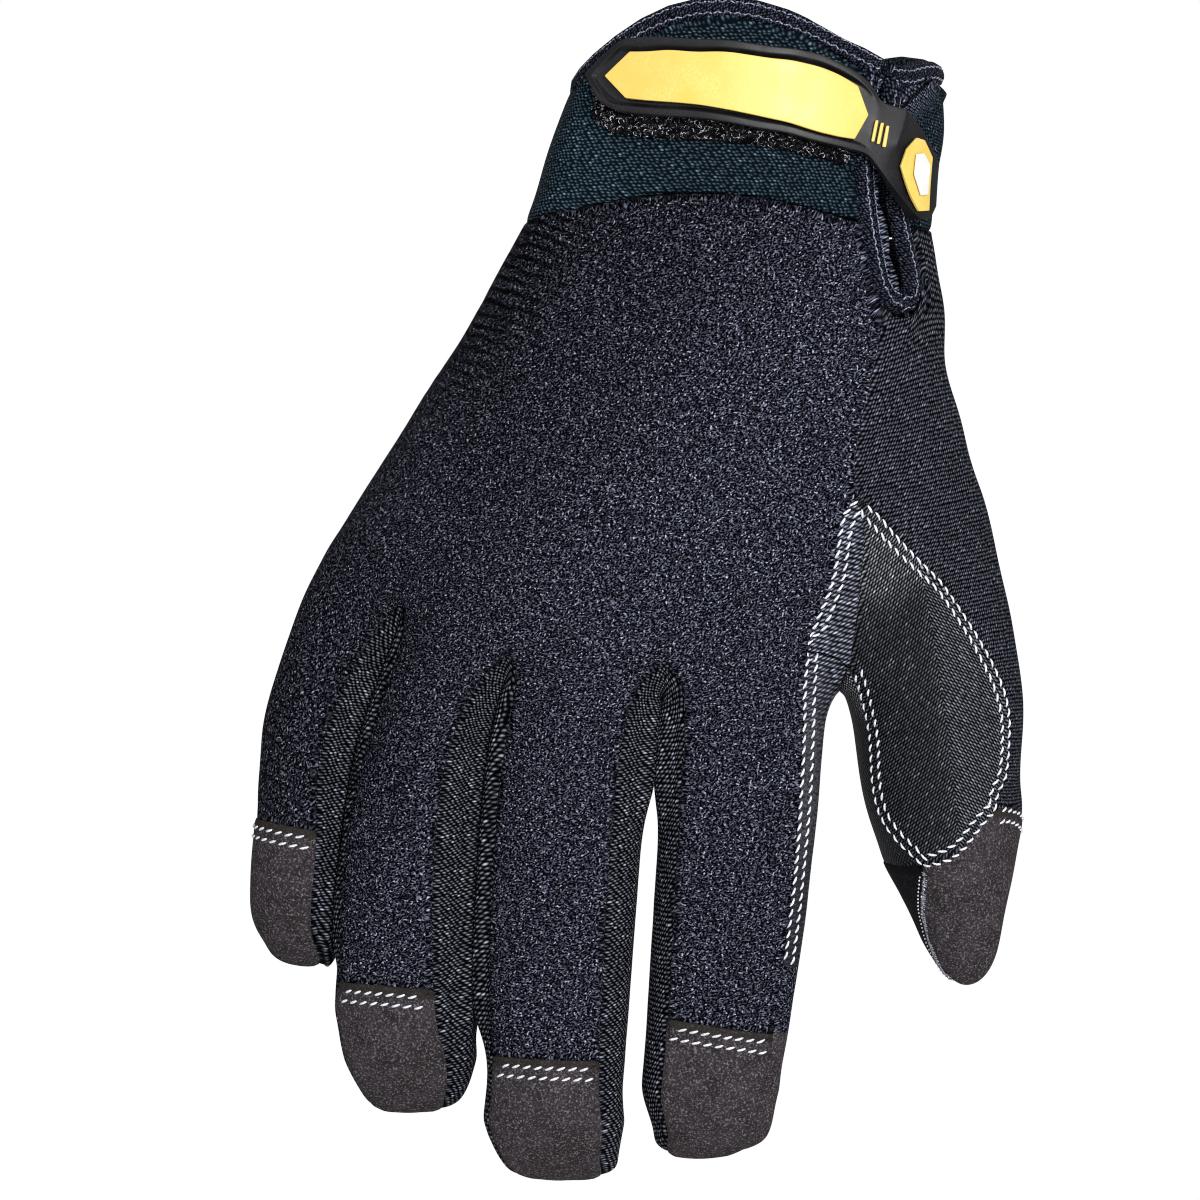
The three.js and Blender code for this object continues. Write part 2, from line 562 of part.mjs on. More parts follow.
function addPanel(panel) {
  const { name, wall, proud, sunk } = panel;
  const outer = skin.faces.filter((item) => item.panel === name);
  const inner = coarse.faces.filter((item) => item.panel === name);
  const isBound = (a, b) => {
    const neighbour = ownerOf.get(`${b}>${a}`);
    return name !== 'slit_gusset' && (neighbour === undefined || neighbour === 'slit_gusset');
  };
  const shifts = seamShifts(outer, isBound);
  const points = [];
  const triangles = [];
  const layer = (height) => {
    const made = new Map();
    return (id) => {
      if (!made.has(id)) {
        made.set(id, points.length);
        const flush = proud && height > 0 && shifts.has(id) && liesInHollow(id, name);
        const place = skin.points[id].clone().addScaledVector(skinNormals[id], flush ? 0 : height);
        points.push(shifts.has(id) ? place.add(shifts.get(id)) : place);
      }
      return made.get(id);
    };
  };
  const out = layer(proud - sunk);
  const within = layer(-sunk - wall);
  for (const { ids } of outer) triangles.push(...cutQuad(points, ids.map(out)));
  for (const { ids } of inner) triangles.push(...cutQuad(points, ids.map(within).reverse()));
  const own = new Set(inner.flatMap(({ ids }) => ids.map((id, i) => `${id}>${ids[(i + 1) % 4]}`)));
  for (const { ids } of inner) {
    ids.forEach((a, i) => {
      const b = ids[(i + 1) % 4];
      if (own.has(`${b}>${a}`)) return;
      const middle = out(skin.middle(a, b));
      triangles.push([middle, out(a), within(a)], [middle, within(a), within(b)]);
      triangles.push([out(b), middle, within(b)]);
    });
  }
  addSolid(name, points, triangles, panel);
}

PANELS.forEach(addPanel);

// Laid pieces

// Where a level ray from the cuff's axis meets the skin, with the skin's normal, or null past the opening.
function castFromAxis(turn, z) {
  const from = new THREE.Vector3(CUFF_AXIS.x, CUFF_AXIS.y, z);
  const ray = new THREE.Ray(from, new THREE.Vector3(Math.sin(rad(turn)), -Math.cos(rad(turn)), 0));
  const place = new THREE.Vector3();
  for (const { ids } of skin.faces) {
    for (const corners of [[0, 1, 2], [0, 2, 3]]) {
      const [a, b, c] = corners.map((i) => skin.points[ids[i]]);
      if (!ray.intersectTriangle(a, b, c, false, place)) continue;
      const weights = THREE.Triangle.getBarycoord(place, a, b, c, new THREE.Vector3());
      const normal = new THREE.Vector3();
      corners.forEach((i, n) => normal.addScaledVector(skinNormals[ids[i]], weights.getComponent(n)));
      return { place, normal: normal.normalize() };
    }
  }
  return null;
}

// The same, carried straight up where the height is past the edge of the cuff.
function onCuff(turn, z) {
  let below = 0;
  let found = castFromAxis(turn, z);
  while (!found && below < HIGHEST_CARRY) {
    below += CARRY_STEP;
    found = castFromAxis(turn, z - below);
  }
  found.place.z = z;
  return found;
}

// The stations with others put evenly between any two that lie far apart.
function refined(stations) {
  return stations.flatMap((station, i) => {
    const next = stations[i + 1] ?? station;
    const count = Math.max(1, Math.ceil((next.turn - station.turn) / WIDEST_TURN));
    return Array.from({ length: count }, (_, n) => {
      const between = Object.entries(station).map(([column, value]) => (
        [column, THREE.MathUtils.lerp(value, next[column], n / count)]));
      return Object.fromEntries(between);
    });
  });
}

// A strip with its underside lift above the skin: a row of points for each station, a column for each share
// of the width, and a rim along the columns and stations marked for it.
function addLaidPiece({ name, lift, thick, rim, columns, stations: given, colour, roughness }) {
  const stations = refined(given);
  const top = [];
  const under = [];
  for (const { turn, low, high, point: push, raise } of stations) {
    for (const [share, edge] of columns) {
      const pushed = turn - push * (1 - Math.abs(2 * share - 1));
      const { place, normal } = onCuff(pushed, low + (high - low) * share);
      under.push(place.clone().addScaledVector(normal, lift));
      top.push(place.addScaledVector(normal, lift + thick + rim * Math.max(edge, raise)));
    }
  }
  const points = [...top, ...under];
  const width = columns.length;
  const triangles = [];
  for (let row = 0; row + 1 < stations.length; row++) {
    for (let column = 0; column + 1 < width; column++) {
      const corner = row * width + column;
      const quad = [corner, corner + width, corner + width + 1, corner + 1];
      triangles.push(...cutQuad(points, quad));
      triangles.push(...cutQuad(points, quad.map((id) => id + top.length).reverse()));
    }
  }
  const last = (stations.length - 1) * width;
  const loop = [
    ...stations.slice(0, -1).map((_, row) => row * width),
    ...columns.slice(0, -1).map((_, column) => last + column),
    ...stations.slice(0, -1).map((_, row) => last - row * width + width - 1),
    ...columns.slice(0, -1).map((_, column) => width - 1 - column),
  ];
  loop.forEach((id, i) => {
    const next = loop[(i + 1) % loop.length];
    triangles.push([id, id + top.length, next], [next, id + top.length, next + top.length]);
  });
  addSolid(name, points, triangles, { colour, roughness });
}

function addStrapBars() {
  const plate = LAID_PIECES.find(({ name }) => name === 'strap_plate');
  STRAP_BARS.forEach(({ turn, low, high }, i) => {
    addLaidPiece({
      ...plate,
      name: `strap_bar_${i + 1}`,
      lift: BAR_LIFT,
      thick: BAR_THICK,
      columns: [[0, 0], [1, 0]],
      stations: [-BAR_HALF_TURN, BAR_HALF_TURN].map((step) => (
        { turn: turn + step, low, high, point: 0, raise: 0 })),
    });
  });
}

LAID_PIECES.forEach(addLaidPiece);
addStrapBars();

// Bindings

// A folded tape along a line of skin points, centred in the thickness of the cuff.
function addBinding(name, line, { trim, step, rounded }) {
  const cuffWall = PANELS.find((panel) => panel.name === 'cuff').wall;
  const midWall = (id) => skin.points[id].clone().addScaledVector(skinNormals[id], -cuffWall / 2);
  const places = line.map(midWall);
  const lengthen = (end, beside) => end.clone().add(end.clone().sub(beside).setLength(-trim));
  const route = places.map((place, i) => {
    if (i === 0) return lengthen(place, places[1]);
    if (i + 1 === places.length) return lengthen(place, places[i - 1]);
    const beside = places[i - 1].clone().add(places[i + 1]).multiplyScalar(0.5);
    return place.clone().lerp(beside, rounded);
  });
  const path = new THREE.CatmullRomCurve3(route, false, 'centripetal');
  const facing = new THREE.CatmullRomCurve3(line.map((id) => skinNormals[id].clone()), false, 'centripetal');
  const steps = Math.round(path.getLength() / step);
  const points = [];
  const triangles = [];
  const sides = BINDING_SECTION.length;
  for (let i = 0; i <= steps; i++) {
    const t = path.getUtoTmapping(i / steps);
    const tangent = path.getTangent(t);
    const normal = facing.getPoint(t);
    normal.addScaledVector(tangent, -normal.dot(tangent)).normalize();
    const side = normal.clone().cross(tangent);
    for (const [across, out] of BINDING_SECTION) {
      const corner = path.getPoint(t).addScaledVector(side, across * BINDING_WIDTH / 2);
      points.push(corner.addScaledVector(normal, out * BINDING_DEPTH / 2));
    }
  }
  for (let i = 0; i < steps; i++) {
    for (let k = 0; k < sides; k++) {
      const next = (k + 1) % sides;
      const [a, b] = [i * sides + k, i * sides + next];
      triangles.push([a, a + sides, b], [b, a + sides, b + sides]);
    }
  }
  const end = steps * sides;
  for (let k = 1; k + 1 < sides; k++) triangles.push([0, k, k + 1], [end, end + k + 1, end + k]);
  addSolid(name, points, triangles, { colour: 0x17181d, roughness: 0.9 });
}

// Skin points from one named cage point to the next, along the rows or columns between them.
function skinLine(names) {
  const ids = names.map((name) => indexOf.get(name));
  return ids.flatMap((id, i) => (i + 1 < ids.length ? [id, coarse.middle(id, ids[i + 1])] : [id]));
}

const mouth = ring([...BACK.toReversed(), ...PALM.toReversed(), 'side', 'lip'], 'opening');
addBinding('cuff_binding', skinLine(mouth), CUFF_BINDING);

const slitSections = ['opening', 'cuff', 'wrist', 'slit_end'];
const slit = [
  ...slitSections.map((section) => `back4@${section}`),
  ...slitSections.toReversed().map((section) => `lip@${section}`),
];
addBinding('slit_binding', skinLine(slit), SLIT_BINDING);

export default glove;
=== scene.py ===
import json
import math
import random

import bmesh
import bpy
from mathutils import Matrix, Vector, noise
from mathutils.bvhtree import BVHTree
from mathutils.kdtree import KDTree

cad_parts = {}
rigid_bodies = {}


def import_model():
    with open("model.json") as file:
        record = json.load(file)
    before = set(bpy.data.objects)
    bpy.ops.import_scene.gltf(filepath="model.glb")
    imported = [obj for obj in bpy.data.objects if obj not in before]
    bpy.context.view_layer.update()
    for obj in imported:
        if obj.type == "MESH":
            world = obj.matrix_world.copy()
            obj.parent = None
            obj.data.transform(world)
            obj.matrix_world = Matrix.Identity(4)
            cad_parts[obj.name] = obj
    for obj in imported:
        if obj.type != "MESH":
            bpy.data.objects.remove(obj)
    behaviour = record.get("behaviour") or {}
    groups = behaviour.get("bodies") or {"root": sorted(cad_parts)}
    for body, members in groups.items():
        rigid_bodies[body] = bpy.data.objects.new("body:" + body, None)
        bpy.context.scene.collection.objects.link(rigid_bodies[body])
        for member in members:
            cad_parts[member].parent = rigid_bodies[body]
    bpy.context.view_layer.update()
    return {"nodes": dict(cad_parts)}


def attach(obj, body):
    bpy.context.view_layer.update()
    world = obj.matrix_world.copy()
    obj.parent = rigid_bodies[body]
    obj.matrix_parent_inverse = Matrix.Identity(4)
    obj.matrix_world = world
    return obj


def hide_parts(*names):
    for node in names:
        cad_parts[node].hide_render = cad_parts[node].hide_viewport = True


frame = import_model()
MM = 0.001

# Knit back
# The back of the hand and of all four fingers is one cut of coarse seed-stitch polyester knit over foam
# and a fleece lining. Its edges are turned under at the seams, and the wrist end gathers into shallow folds.
BACK_ROLL = 0.9 * MM
SHARP_FOLD = math.radians(60)
CORNER_TURN = math.radians(38)
FLAT_DIAGONAL = math.radians(40)


def linear(hex_colour):
    """An sRGB hex colour as the linear colour that a shader takes."""
    shares = [int(hex_colour[place:place + 2], 16) / 255 for place in (1, 3, 5)]
    return (*[s / 12.92 if s <= 0.04045 else ((s + 0.055) / 1.055) ** 2.4 for s in shares], 1.0)


def add_node(beside, kind, settings=(), inputs=()):
    """Adds a node to a material, or beside another node's output, with its settings, values and links."""
    tree = getattr(beside, "node_tree", None) or beside.id_data
    node = tree.nodes.new("ShaderNode" + kind)
    for name, value in dict(settings).items():
        setattr(node, name, value)
    for socket, value in dict(inputs).items():
        if isinstance(value, bpy.types.NodeSocket):
            tree.links.new(value, node.inputs[socket])
        else:
            node.inputs[socket].default_value = value
    return node


def new_material(name, roughness, specular=0.5, sheen=0.0, sheen_colour="#ffffff"):
    """A material with the constant values of its shader set."""
    material = bpy.data.materials.new(name)
    material.use_nodes = True
    inputs = material.node_tree.nodes["Principled BSDF"].inputs
    inputs["Roughness"].default_value = roughness
    inputs["Specular IOR Level"].default_value = specular
    inputs["Sheen Weight"].default_value = sheen
    inputs["Sheen Roughness"].default_value = 0.45
    inputs["Sheen Tint"].default_value = linear(sheen_colour)
    return material


def finished(material, colour, height, depth, strength=1.0):
    """A material given its colour, and relief of that real depth."""
    inputs = material.node_tree.nodes["Principled BSDF"].inputs
    relief = add_node(material, "Bump", (), {"Height": height, "Distance": depth, "Strength": strength})
    material.node_tree.links.new(colour, inputs["Base Color"])
    material.node_tree.links.new(relief.outputs[0], inputs["Normal"])
    return material


def blend_colours(share, low, high):
    """A colour between two others, each a hex value or another node's output."""
    low = linear(low) if isinstance(low, str) else low
    high = linear(high) if isinstance(high, str) else high
    return add_node(share, "Mix", {"data_type": "RGBA"}, {0: share, 6: low, 7: high}).outputs[2]


def rescale(value, low, high, out_low=0.0, out_high=1.0, kind="SMOOTHSTEP"):
    """A value carried smoothly from one range to another."""
    inputs = {"Value": value, "From Min": low, "From Max": high, "To Min": out_low, "To Max": out_high}
    return add_node(value, "MapRange", {"interpolation_type": kind}, inputs).outputs["Result"]


def reckon(operation, first, second=0.0):
    """One step of arithmetic on node outputs."""
    return add_node(first, "Math", {"operation": operation}, {0: first, 1: second}).outputs[0]


# Rounding a panel off draws its outline in, so the outline is moved back out to the photograph's. Each row is
# a place x, z and the move there, in millimetres.
OUTLINE_FIT = [
    (-40.7, 0.7, -3.8, 1.4), (-36.3, 8.8, -2.8, 2.6), (-27.7, 13.6, -0.4, 3), (-19.6, 17.5, 0, 0.6),
    (-3.5, 19.5, 0, -1.4), (4.6, 19, 0, -3.4), (12.7, 16.6, 0, -3.8), (20.8, 11.5, 0, -3.8),
    (-43.7, -7.4, -3.2, 0.5), (-47.2, -15.5, -2.8, 0.5), (-50, -23.6, -2.6, 0.6), (-52.6, -31.7, -2.4, 0.8),
    (-56.9, -39.7, -2.6, 1.1), (-61.7, -47.8, -1.9, 1), (-66.6, -55.9, -1.3, 0.7), (-71.4, -64, -1.5, 0.9),
    (-75.8, -72.1, -2.1, 1.3), (-81.2, -80.2, -2.1, 1.3), (-86.3, -88.3, -2, 1.2), (-92, -96.3, -1.9, 1.1),
    (-97.9, -104.4, -0.9, 0.5), (-106, -120.6, -0.7, 0.2), (-109.3, -128.7, -1.2, 0.3),
    (-111.7, -136.8, -1.4, 0.2), (-114.1, -144.9, -1.1, 0), (-116.8, -194.7, -0.5, -0.2),
    (-99, -202.5, 0.6, -1.2), (-94.4, -225.7, -1.7, -0.6), (-89.3, -233.8, -0.9, -1),
    (-69.1, -225.7, 2.1, -0.4), (-74.2, -233.8, 1.5, -1), (-61.5, -241.9, -1.6, -1.2),
    (-54.4, -249.5, -1.6, -1.8), (-47, -252, 0, -0.5), (-34.2, -241.9, 1.6, -0.6), (-39.9, -250, 1.8, -1.4),
    (-24.6, -241.9, -1.4, -0.8), (-18, -246, -0.4, -1.3), (2.1, -233.8, 0.2, 0), (-2.8, -241.9, 2.2, -1.2),
    (-9, -245.8, 0.4, -1.3), (21.3, -144.9, -1.8, 0.2), (22.9, -153, -2.1, 0.2), (23.7, -161, -1.7, 0.1),
    (25.3, -169, -1.1, 0), (28.3, -177, -1.5, -0.3), (32.4, -185.3, -1.7, -0.6), (36.3, -193.4, -0.8, -0.5),
    (40.2, -201.5, -0.9, -0.9), (45.1, -205.9, 0, -1.3), (42.6, -64, -1.3, 0), (48.8, -88, -0.9, 0),
    (40.5, -39.7, 1, 0), (41.5, -47.8, 1, 0), (-99.5, -210.5, -1.4, 0), (58.6, -169, 1, 0),
    (8.8, -185, 1, 0), (3.5, -225.7, -1, 0), (-27.4, -233.8, -1, 0), (55.5, -193, -0.8, 0),
]
FIT_REACH = 7.0
# How far the tab beside the slit dips at its outer corner and at its front one, in millimetres.
OUTER_DIP = 4.6
FRONT_DIP = 5.2


def smooth_step(share):
    share = min(1.0, max(0.0, share))
    return share * share * (3 - 2 * share)


def fitted(point):
    """A point of a solid moved with the outline, and down where the tab beside the slit is rounded off."""
    x, y, z = point / MM
    total = across = up = 0.0
    for at_x, at_z, move_x, move_z in OUTLINE_FIT:
        apart = ((x - at_x) ** 2 + (z - at_z) ** 2) / FIT_REACH ** 2
        if apart < 7:
            weight = math.exp(-apart)
            total += weight
            across += weight * move_x
            up += weight * move_z
    share = 1 / max(1.0, total)
    dip = OUTER_DIP * smooth_step((x - 36.5) / 6) * smooth_step((z + 20) / 20)
    if y < 0 and x > 25:
        dip += FRONT_DIP * smooth_step((34 - x) / 6) * smooth_step((y + 22) / 4) * smooth_step((z + 20) / 18)
    return Vector((x + across * share, y, z + up * share - dip)) * MM


def quad_copy(node, move=fitted):
    """A piece's moved solid as a merged bmesh, with the diagonals of its four-sided faces dissolved."""
    shape = bmesh.new()
    shape.from_mesh(node.data)
    bmesh.ops.remove_doubles(shape, verts=shape.verts, dist=0.01 * MM)
    for vert in shape.verts:
        vert.co = move(vert.co)
    diagonals = []
    for edge in shape.edges:
        longest = all(edge.calc_length() > 0.9999 * side.calc_length()
                      for face in edge.link_faces for side in face.edges)
        if longest and len(edge.link_faces) == 2 and edge.calc_face_angle() < FLAT_DIAGONAL:
            diagonals.append(edge)
    bmesh.ops.dissolve_edges(shape, edges=diagonals, use_verts=False)
    shape.faces.index_update()
    shape.faces.ensure_lookup_table()
    return shape


def smooth_runs(shape, sharpest):
    """The faces of a shape in runs that meet without a sharp fold, the largest run first."""
    runs = []
    seen = set()
    for start in shape.faces:
        if start.index in seen:
            continue
        seen.add(start.index)
        run = [start]
        for face in run:
            for edge in face.edges:
                if edge.calc_face_angle(math.pi) < sharpest:
                    for other in edge.link_faces:
                        if other.index not in seen:
                            seen.add(other.index)
                            run.append(other)
        runs.append(run)
    return sorted(runs, key=lambda run: -sum(face.calc_area() for face in run))


def rounded(name, shape, levels):
    """A bmesh as a smooth object of that name, subdivided that many times."""
    mesh = bpy.data.meshes.new(name + "_cage")
    shape.to_mesh(mesh)
    shape.free()
    piece = bpy.data.objects.new(name, mesh)
    bpy.context.scene.collection.objects.link(piece)
    if levels:
        rounding = piece.modifiers.new("rounding", "SUBSURF")
        rounding.levels = rounding.render_levels = levels
        graph = bpy.context.evaluated_depsgraph_get()
        piece.data = bpy.data.meshes.new_from_object(piece.evaluated_get(graph))
        piece.modifiers.clear()
        bpy.data.meshes.remove(mesh)
    piece.data.name = name
    piece.data.shade_smooth()
    return piece


def lay_flat(piece, outer_faces):
    """Unwraps the outer side into the UV map "cloth", in metres of cloth, with V up the hand."""
    mesh = piece.data
    mesh.uv_layers.new(name="cloth")
    for other in bpy.context.view_layer.objects:
        other.select_set(other == piece)
    bpy.context.view_layer.objects.active = piece
    bpy.ops.object.mode_set(mode="EDIT")
    bpy.ops.mesh.select_all(action="SELECT")
    bpy.ops.uv.unwrap(method="ANGLE_BASED", margin=0.001)
    bpy.ops.object.mode_set(mode="OBJECT")
    places = mesh.uv_layers["cloth"].data
    real = flat = 0.0
    sums = [[0.0] * 3 for _ in range(3)]
    rights = [0.0] * 3
    for polygon in mesh.polygons:
        if polygon.index not in outer_faces:
            continue
        corners = [places[loop].uv for loop in polygon.loop_indices]
        turns = zip(corners, corners[1:] + corners[:1])
        flat += abs(sum(a.x * b.y - b.x * a.y for a, b in turns)) / 2
        real += polygon.area
        middle = sum(corners, Vector((0, 0))) / len(corners)
        row = (middle.x, middle.y, 1.0)
        for i in range(3):
            rights[i] += row[i] * polygon.center.z
            for j in range(3):
                sums[i][j] += row[i] * row[j]
    slope = Matrix(sums).inverted() @ Vector(rights)
    turn = math.pi / 2 - math.atan2(slope.y, slope.x)
    scale = math.sqrt(real / flat)
    cosine, sine = math.cos(turn) * scale, math.sin(turn) * scale
    middle_u, middle_v = sums[0][2] / sums[2][2], sums[1][2] / sums[2][2]
    for place in places:
        u, v = place.uv[0] - middle_u, place.uv[1] - middle_v
        place.uv = (u * cosine - v * sine, u * sine + v * cosine)


cad_surfaces = {}
solid_points = []
solid_faces = []
for cad_name, cad_node in frame["nodes"].items():
    points = [fitted(vert.co) for vert in cad_node.data.vertices]
    faces = [tuple(polygon.vertices) for polygon in cad_node.data.polygons]
    cad_surfaces[cad_name] = BVHTree.FromPolygons(points, faces)
    start = len(solid_points)
    solid_points += points
    solid_faces += [tuple(start + vert for vert in face) for face in faces]
whole_glove = BVHTree.FromPolygons(solid_points, solid_faces)


def neighbour(point, own):
    """The name of the solid nearest to a point on another's seam."""
    nearest = [(tree.find_nearest(point)[3], name) for name, tree in cad_surfaces.items() if name != own]
    return min(nearest)[1]


def looks_out(run):
    """Whether most of a run of faces looks out of the glove: the front or the rear is free before them."""
    free = total = 0.0
    for face in run:
        before = face.calc_center_median() + face.normal * 0.5 * MM
        area = face.calc_area()
        total += area
        if any(whole_glove.ray_cast(before, Vector((0, way, 0)))[0] is None for way in (-1, 1)):
            free += area
    return free > 0.5 * total


def make_panel(name, node_name, levels, roll=BACK_ROLL, flush=()):
    """A sewn panel: its solid's outer side with the edges rolled under, laid flat for its pattern.

    Flush names the solids that it meets in a flat seam. Material 0 is meant for the cloth and 1 for the
    lining inside, which install undoes. The attribute "edge" is the distance from the nearest seam that
    isn't flat."""
    shape = quad_copy(frame["nodes"][node_name])
    corner = shape.verts.layers.float.new("crease_vert")
    crease = shape.edges.layers.float.new("crease_edge")
    flat_layer = shape.verts.layers.int.new("flat_seam")
    outer_layer = shape.faces.layers.int.new("outer")
    runs = smooth_runs(shape, SHARP_FOLD)
    outer = [face for run in runs if looks_out(run) for face in run] or runs[0]
    outer_set = set(outer)
    seam_edges = [e for e in shape.edges if sum(face in outer_set for face in e.link_faces) == 1]
    seam_verts = {vert for edge in seam_edges for vert in edge.verts}
    for face in shape.faces:
        on_seam = any(vert in seam_verts for vert in face.verts)
        face.material_index = 0 if face in outer_set or on_seam else 1
    for vert in shape.verts:
        sides = [edge.other_vert(vert).co - vert.co for edge in vert.link_edges if edge in seam_edges]
        if len(sides) == 2 and math.pi - sides[0].angle(sides[1]) > CORNER_TURN:
            vert[corner] = 1.0
    for edge in seam_edges:
        if flush and neighbour((edge.verts[0].co + edge.verts[1].co) / 2, node_name) in flush:
            edge[crease] = 1.0
            edge.verts[0][flat_layer] = edge.verts[1][flat_layer] = 1
    ring = bmesh.ops.inset_region(shape, faces=outer, thickness=roll, depth=0, use_even_offset=True)["faces"]
    shape.faces.index_update()
    shown = set(outer + ring)
    for face in shown:
        face.material_index = 0
        face[outer_layer] = 1
    for edge in shape.edges:
        edge.seam = sum(face in shown for face in edge.link_faces) == 1
    outer_faces = {face.index for face in shown}
    piece = rounded(name, shape, 0)
    lay_flat(piece, outer_faces)
    cage = bmesh.new()
    cage.from_mesh(piece.data)
    bpy.data.objects.remove(piece)
    piece = rounded(name, cage, levels)
    flat = piece.data.attributes["flat_seam"].data
    distances = seam_distances(piece, lambda vert: not flat[vert].value)
    piece.data.attributes.new("edge", "FLOAT", "POINT").data.foreach_set("value", distances)
    return piece


def point_tree(points):
    """A tree that finds the nearest of some points."""
    tree = KDTree(len(points))
    for number, point in enumerate(points):
        tree.insert(point, number)
    tree.balance()
    return tree


def seam_distances(piece, counts=lambda vert: True):
    """Each vertex's distance from the seam vertices that count."""
    mesh = piece.data
    seam = sorted({vert for edge in mesh.edges if edge.use_seam for vert in edge.vertices})
    tree = point_tree([mesh.vertices[vert].co for vert in seam if counts(vert)])
    return [tree.find(vert.co)[2] for vert in mesh.vertices]


SEAM_REACH = 1.1 * MM
SEAM_GAP = 1.7 * MM
TAPE_GAP = 3 * MM
TAPE_COVER = 0.8 * MM


def close_seams(piece, own):
    """Draws a panel's edges out until they meet the panels that they are sewn to, or lie under their tape."""
    mesh = piece.data
    distances = seam_distances(piece)
    rim = [vert for vert in mesh.vertices if distances[vert.index] < SEAM_REACH]
    beside = {neighbour(vert.co, own) for vert in rim[::12]}
    beside = sorted(name for name in beside if "strap" not in name and name != "loop_patch")
    for vert in rim:
        found = []
        for name in beside:
            taped = "binding" in name
            spot, _, _, apart = cad_surfaces[name].find_nearest(vert.co, TAPE_GAP if taped else SEAM_GAP)
            if spot is not None:
                found.append((apart, TAPE_COVER if taped else -0.05 * MM, spot))
        if found:
            apart, further, spot = min(found, key=lambda hit: hit[0])
            share = 1 - (distances[vert.index] / SEAM_REACH) ** 2
            vert.co += (spot - vert.co) * share * max(0.0, 1 + further / max(apart, 0.2 * MM))
    mesh.update()


FULL_WAVE = 4 * MM


def shape_cloth(piece, pucker=(1, 0, 1), swell=(1, 0), lift=lambda place, edge: 0.0):
    """Moves a panel's vertices along their normals, by waves and by lift(place, distance from the seam).

    Pucker is the size, depth and reach of the waves that the seam pulls into the cloth, and swell the size
    and depth of the broad ones in its middle, in millimetres."""
    mesh = piece.data
    edges = mesh.attributes["edge"].data
    size, depth, reach = pucker
    broad_size, broad_depth = swell
    moves = []
    for vert in mesh.vertices:
        edge = edges[vert.index].value
        near = depth * MM * noise.noise(vert.co / (size * MM)) * math.exp(-edge / (reach * MM))
        broad = broad_depth * MM * noise.noise(vert.co / (broad_size * MM)) * min(1.0, edge / FULL_WAVE)
        moves.append(vert.normal * (near + broad + lift(vert.co, edge)))
    for vert, move in zip(mesh.vertices, moves):
        vert.co += move
    mesh.update()


def install(piece, node_name, slot, *materials):
    """Gives a piece its materials and lets it stand for its solid. Clearing the list puts every face on the
    first material, so a panel's inner side shows its cloth and not its lining."""
    piece.data.materials.clear()
    for material in materials:
        piece.data.materials.append(material)
    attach(piece, "root")
    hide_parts(node_name)


def sew_in(piece, node_name, slot, cloth, **waves):
    """Shapes a panel's cloth, draws it to its neighbours and lets it stand for its solid."""
    shape_cloth(piece, **waves)
    close_seams(piece, node_name)
    install(piece, node_name, slot, cloth, lining)


WANDER_SIZE = 9 * MM


def cloth_place(material, drift=0.0):
    """Where a point lies on the cloth laid flat, in metres, wandering by up to drift as cloth does."""
    place = add_node(material, "UVMap", {"uv_map": "cloth"}).outputs["UV"]
    if not drift:
        return place
    wander = add_node(place, "TexNoise", {"noise_dimensions": "2D"},
                      {"Vector": place, "Scale": 1 / WANDER_SIZE, "Detail": 1.0}).outputs["Color"]
    centred = add_node(place, "VectorMath", {"operation": "SUBTRACT"}, {0: wander, 1: (0.5, 0.5, 0.5)})
    shift = add_node(place, "VectorMath", {"operation": "SCALE"}, {0: centred.outputs[0], "Scale": drift})
    return add_node(place, "VectorMath", {"operation": "ADD"}, {0: place, 1: shift.outputs[0]}).outputs[0]


def mottle(material, size, detail, roughness=0.5):
    """A soft random pattern of that real size all through a piece."""
    place = add_node(material, "TexCoord").outputs["Object"]
    return add_node(place, "TexNoise", (), {
        "Vector": place, "Scale": 1 / size, "Detail": detail, "Roughness": roughness}).outputs[0]


def yarn_rows(place, length, width, turn):
    """A place counted in yarns along and across their rows."""
    return add_node(place, "Mapping", {"vector_type": "TEXTURE"},
                    {"Vector": place, "Rotation": (0, 0, turn), "Scale": (length, width, 1)}).outputs[0]


def flecks(place, length, width, turn, jitter, stagger=0.0):
    """Short raised flecks of yarn in rows: their height and a random share for each."""
    rows = yarn_rows(place, length, width, turn)
    if stagger:
        apart = add_node(rows, "SeparateXYZ", (), {0: rows})
        column = reckon("ADD", apart.outputs[0], reckon("MULTIPLY", apart.outputs[1], stagger))
        rows = add_node(rows, "CombineXYZ", (), {0: column, 1: apart.outputs[1]}).outputs[0]
    cells = add_node(rows, "TexVoronoi", {"voronoi_dimensions": "2D"},
                     {"Vector": rows, "Scale": 1.0, "Randomness": jitter})
    height = rescale(cells.outputs["Distance"], 0.05, 0.56, 1.0, 0.0, "LINEAR")
    return height, add_node(rows, "SeparateColor", (), {0: cells.outputs["Color"]}).outputs[0]


def yarn_colour_and_highlight(height, chance, deepest, crown_highlight, common=0.75, spread=2.0):
    """Yarn: its own near-black between the flecks, with a painted highlight that makes their crowns paler and
    a chance few palest.
    """
    usual = rescale(chance, 0.0, 1.0, common - 0.2, common + 0.1, "LINEAR")
    lively = reckon("ADD", usual, rescale(chance, 0.93, 0.97, 0.0, 0.35))
    share = reckon("POWER", reckon("MULTIPLY", height, lively), spread)
    return blend_colours(share, deepest, crown_highlight)


def painted_seam_shade(colour, width=1.4 * MM, depth=0.35):
    """A colour with painted shade, darker where the cloth turns under at its seam."""
    edge = add_node(colour, "Attribute", {"attribute_name": "edge"}).outputs["Fac"]
    shade = rescale(edge, 0.0, width, depth, 1.0)
    return add_node(colour, "VectorMath", {"operation": "SCALE"}, {0: colour, "Scale": shade}).outputs[0]


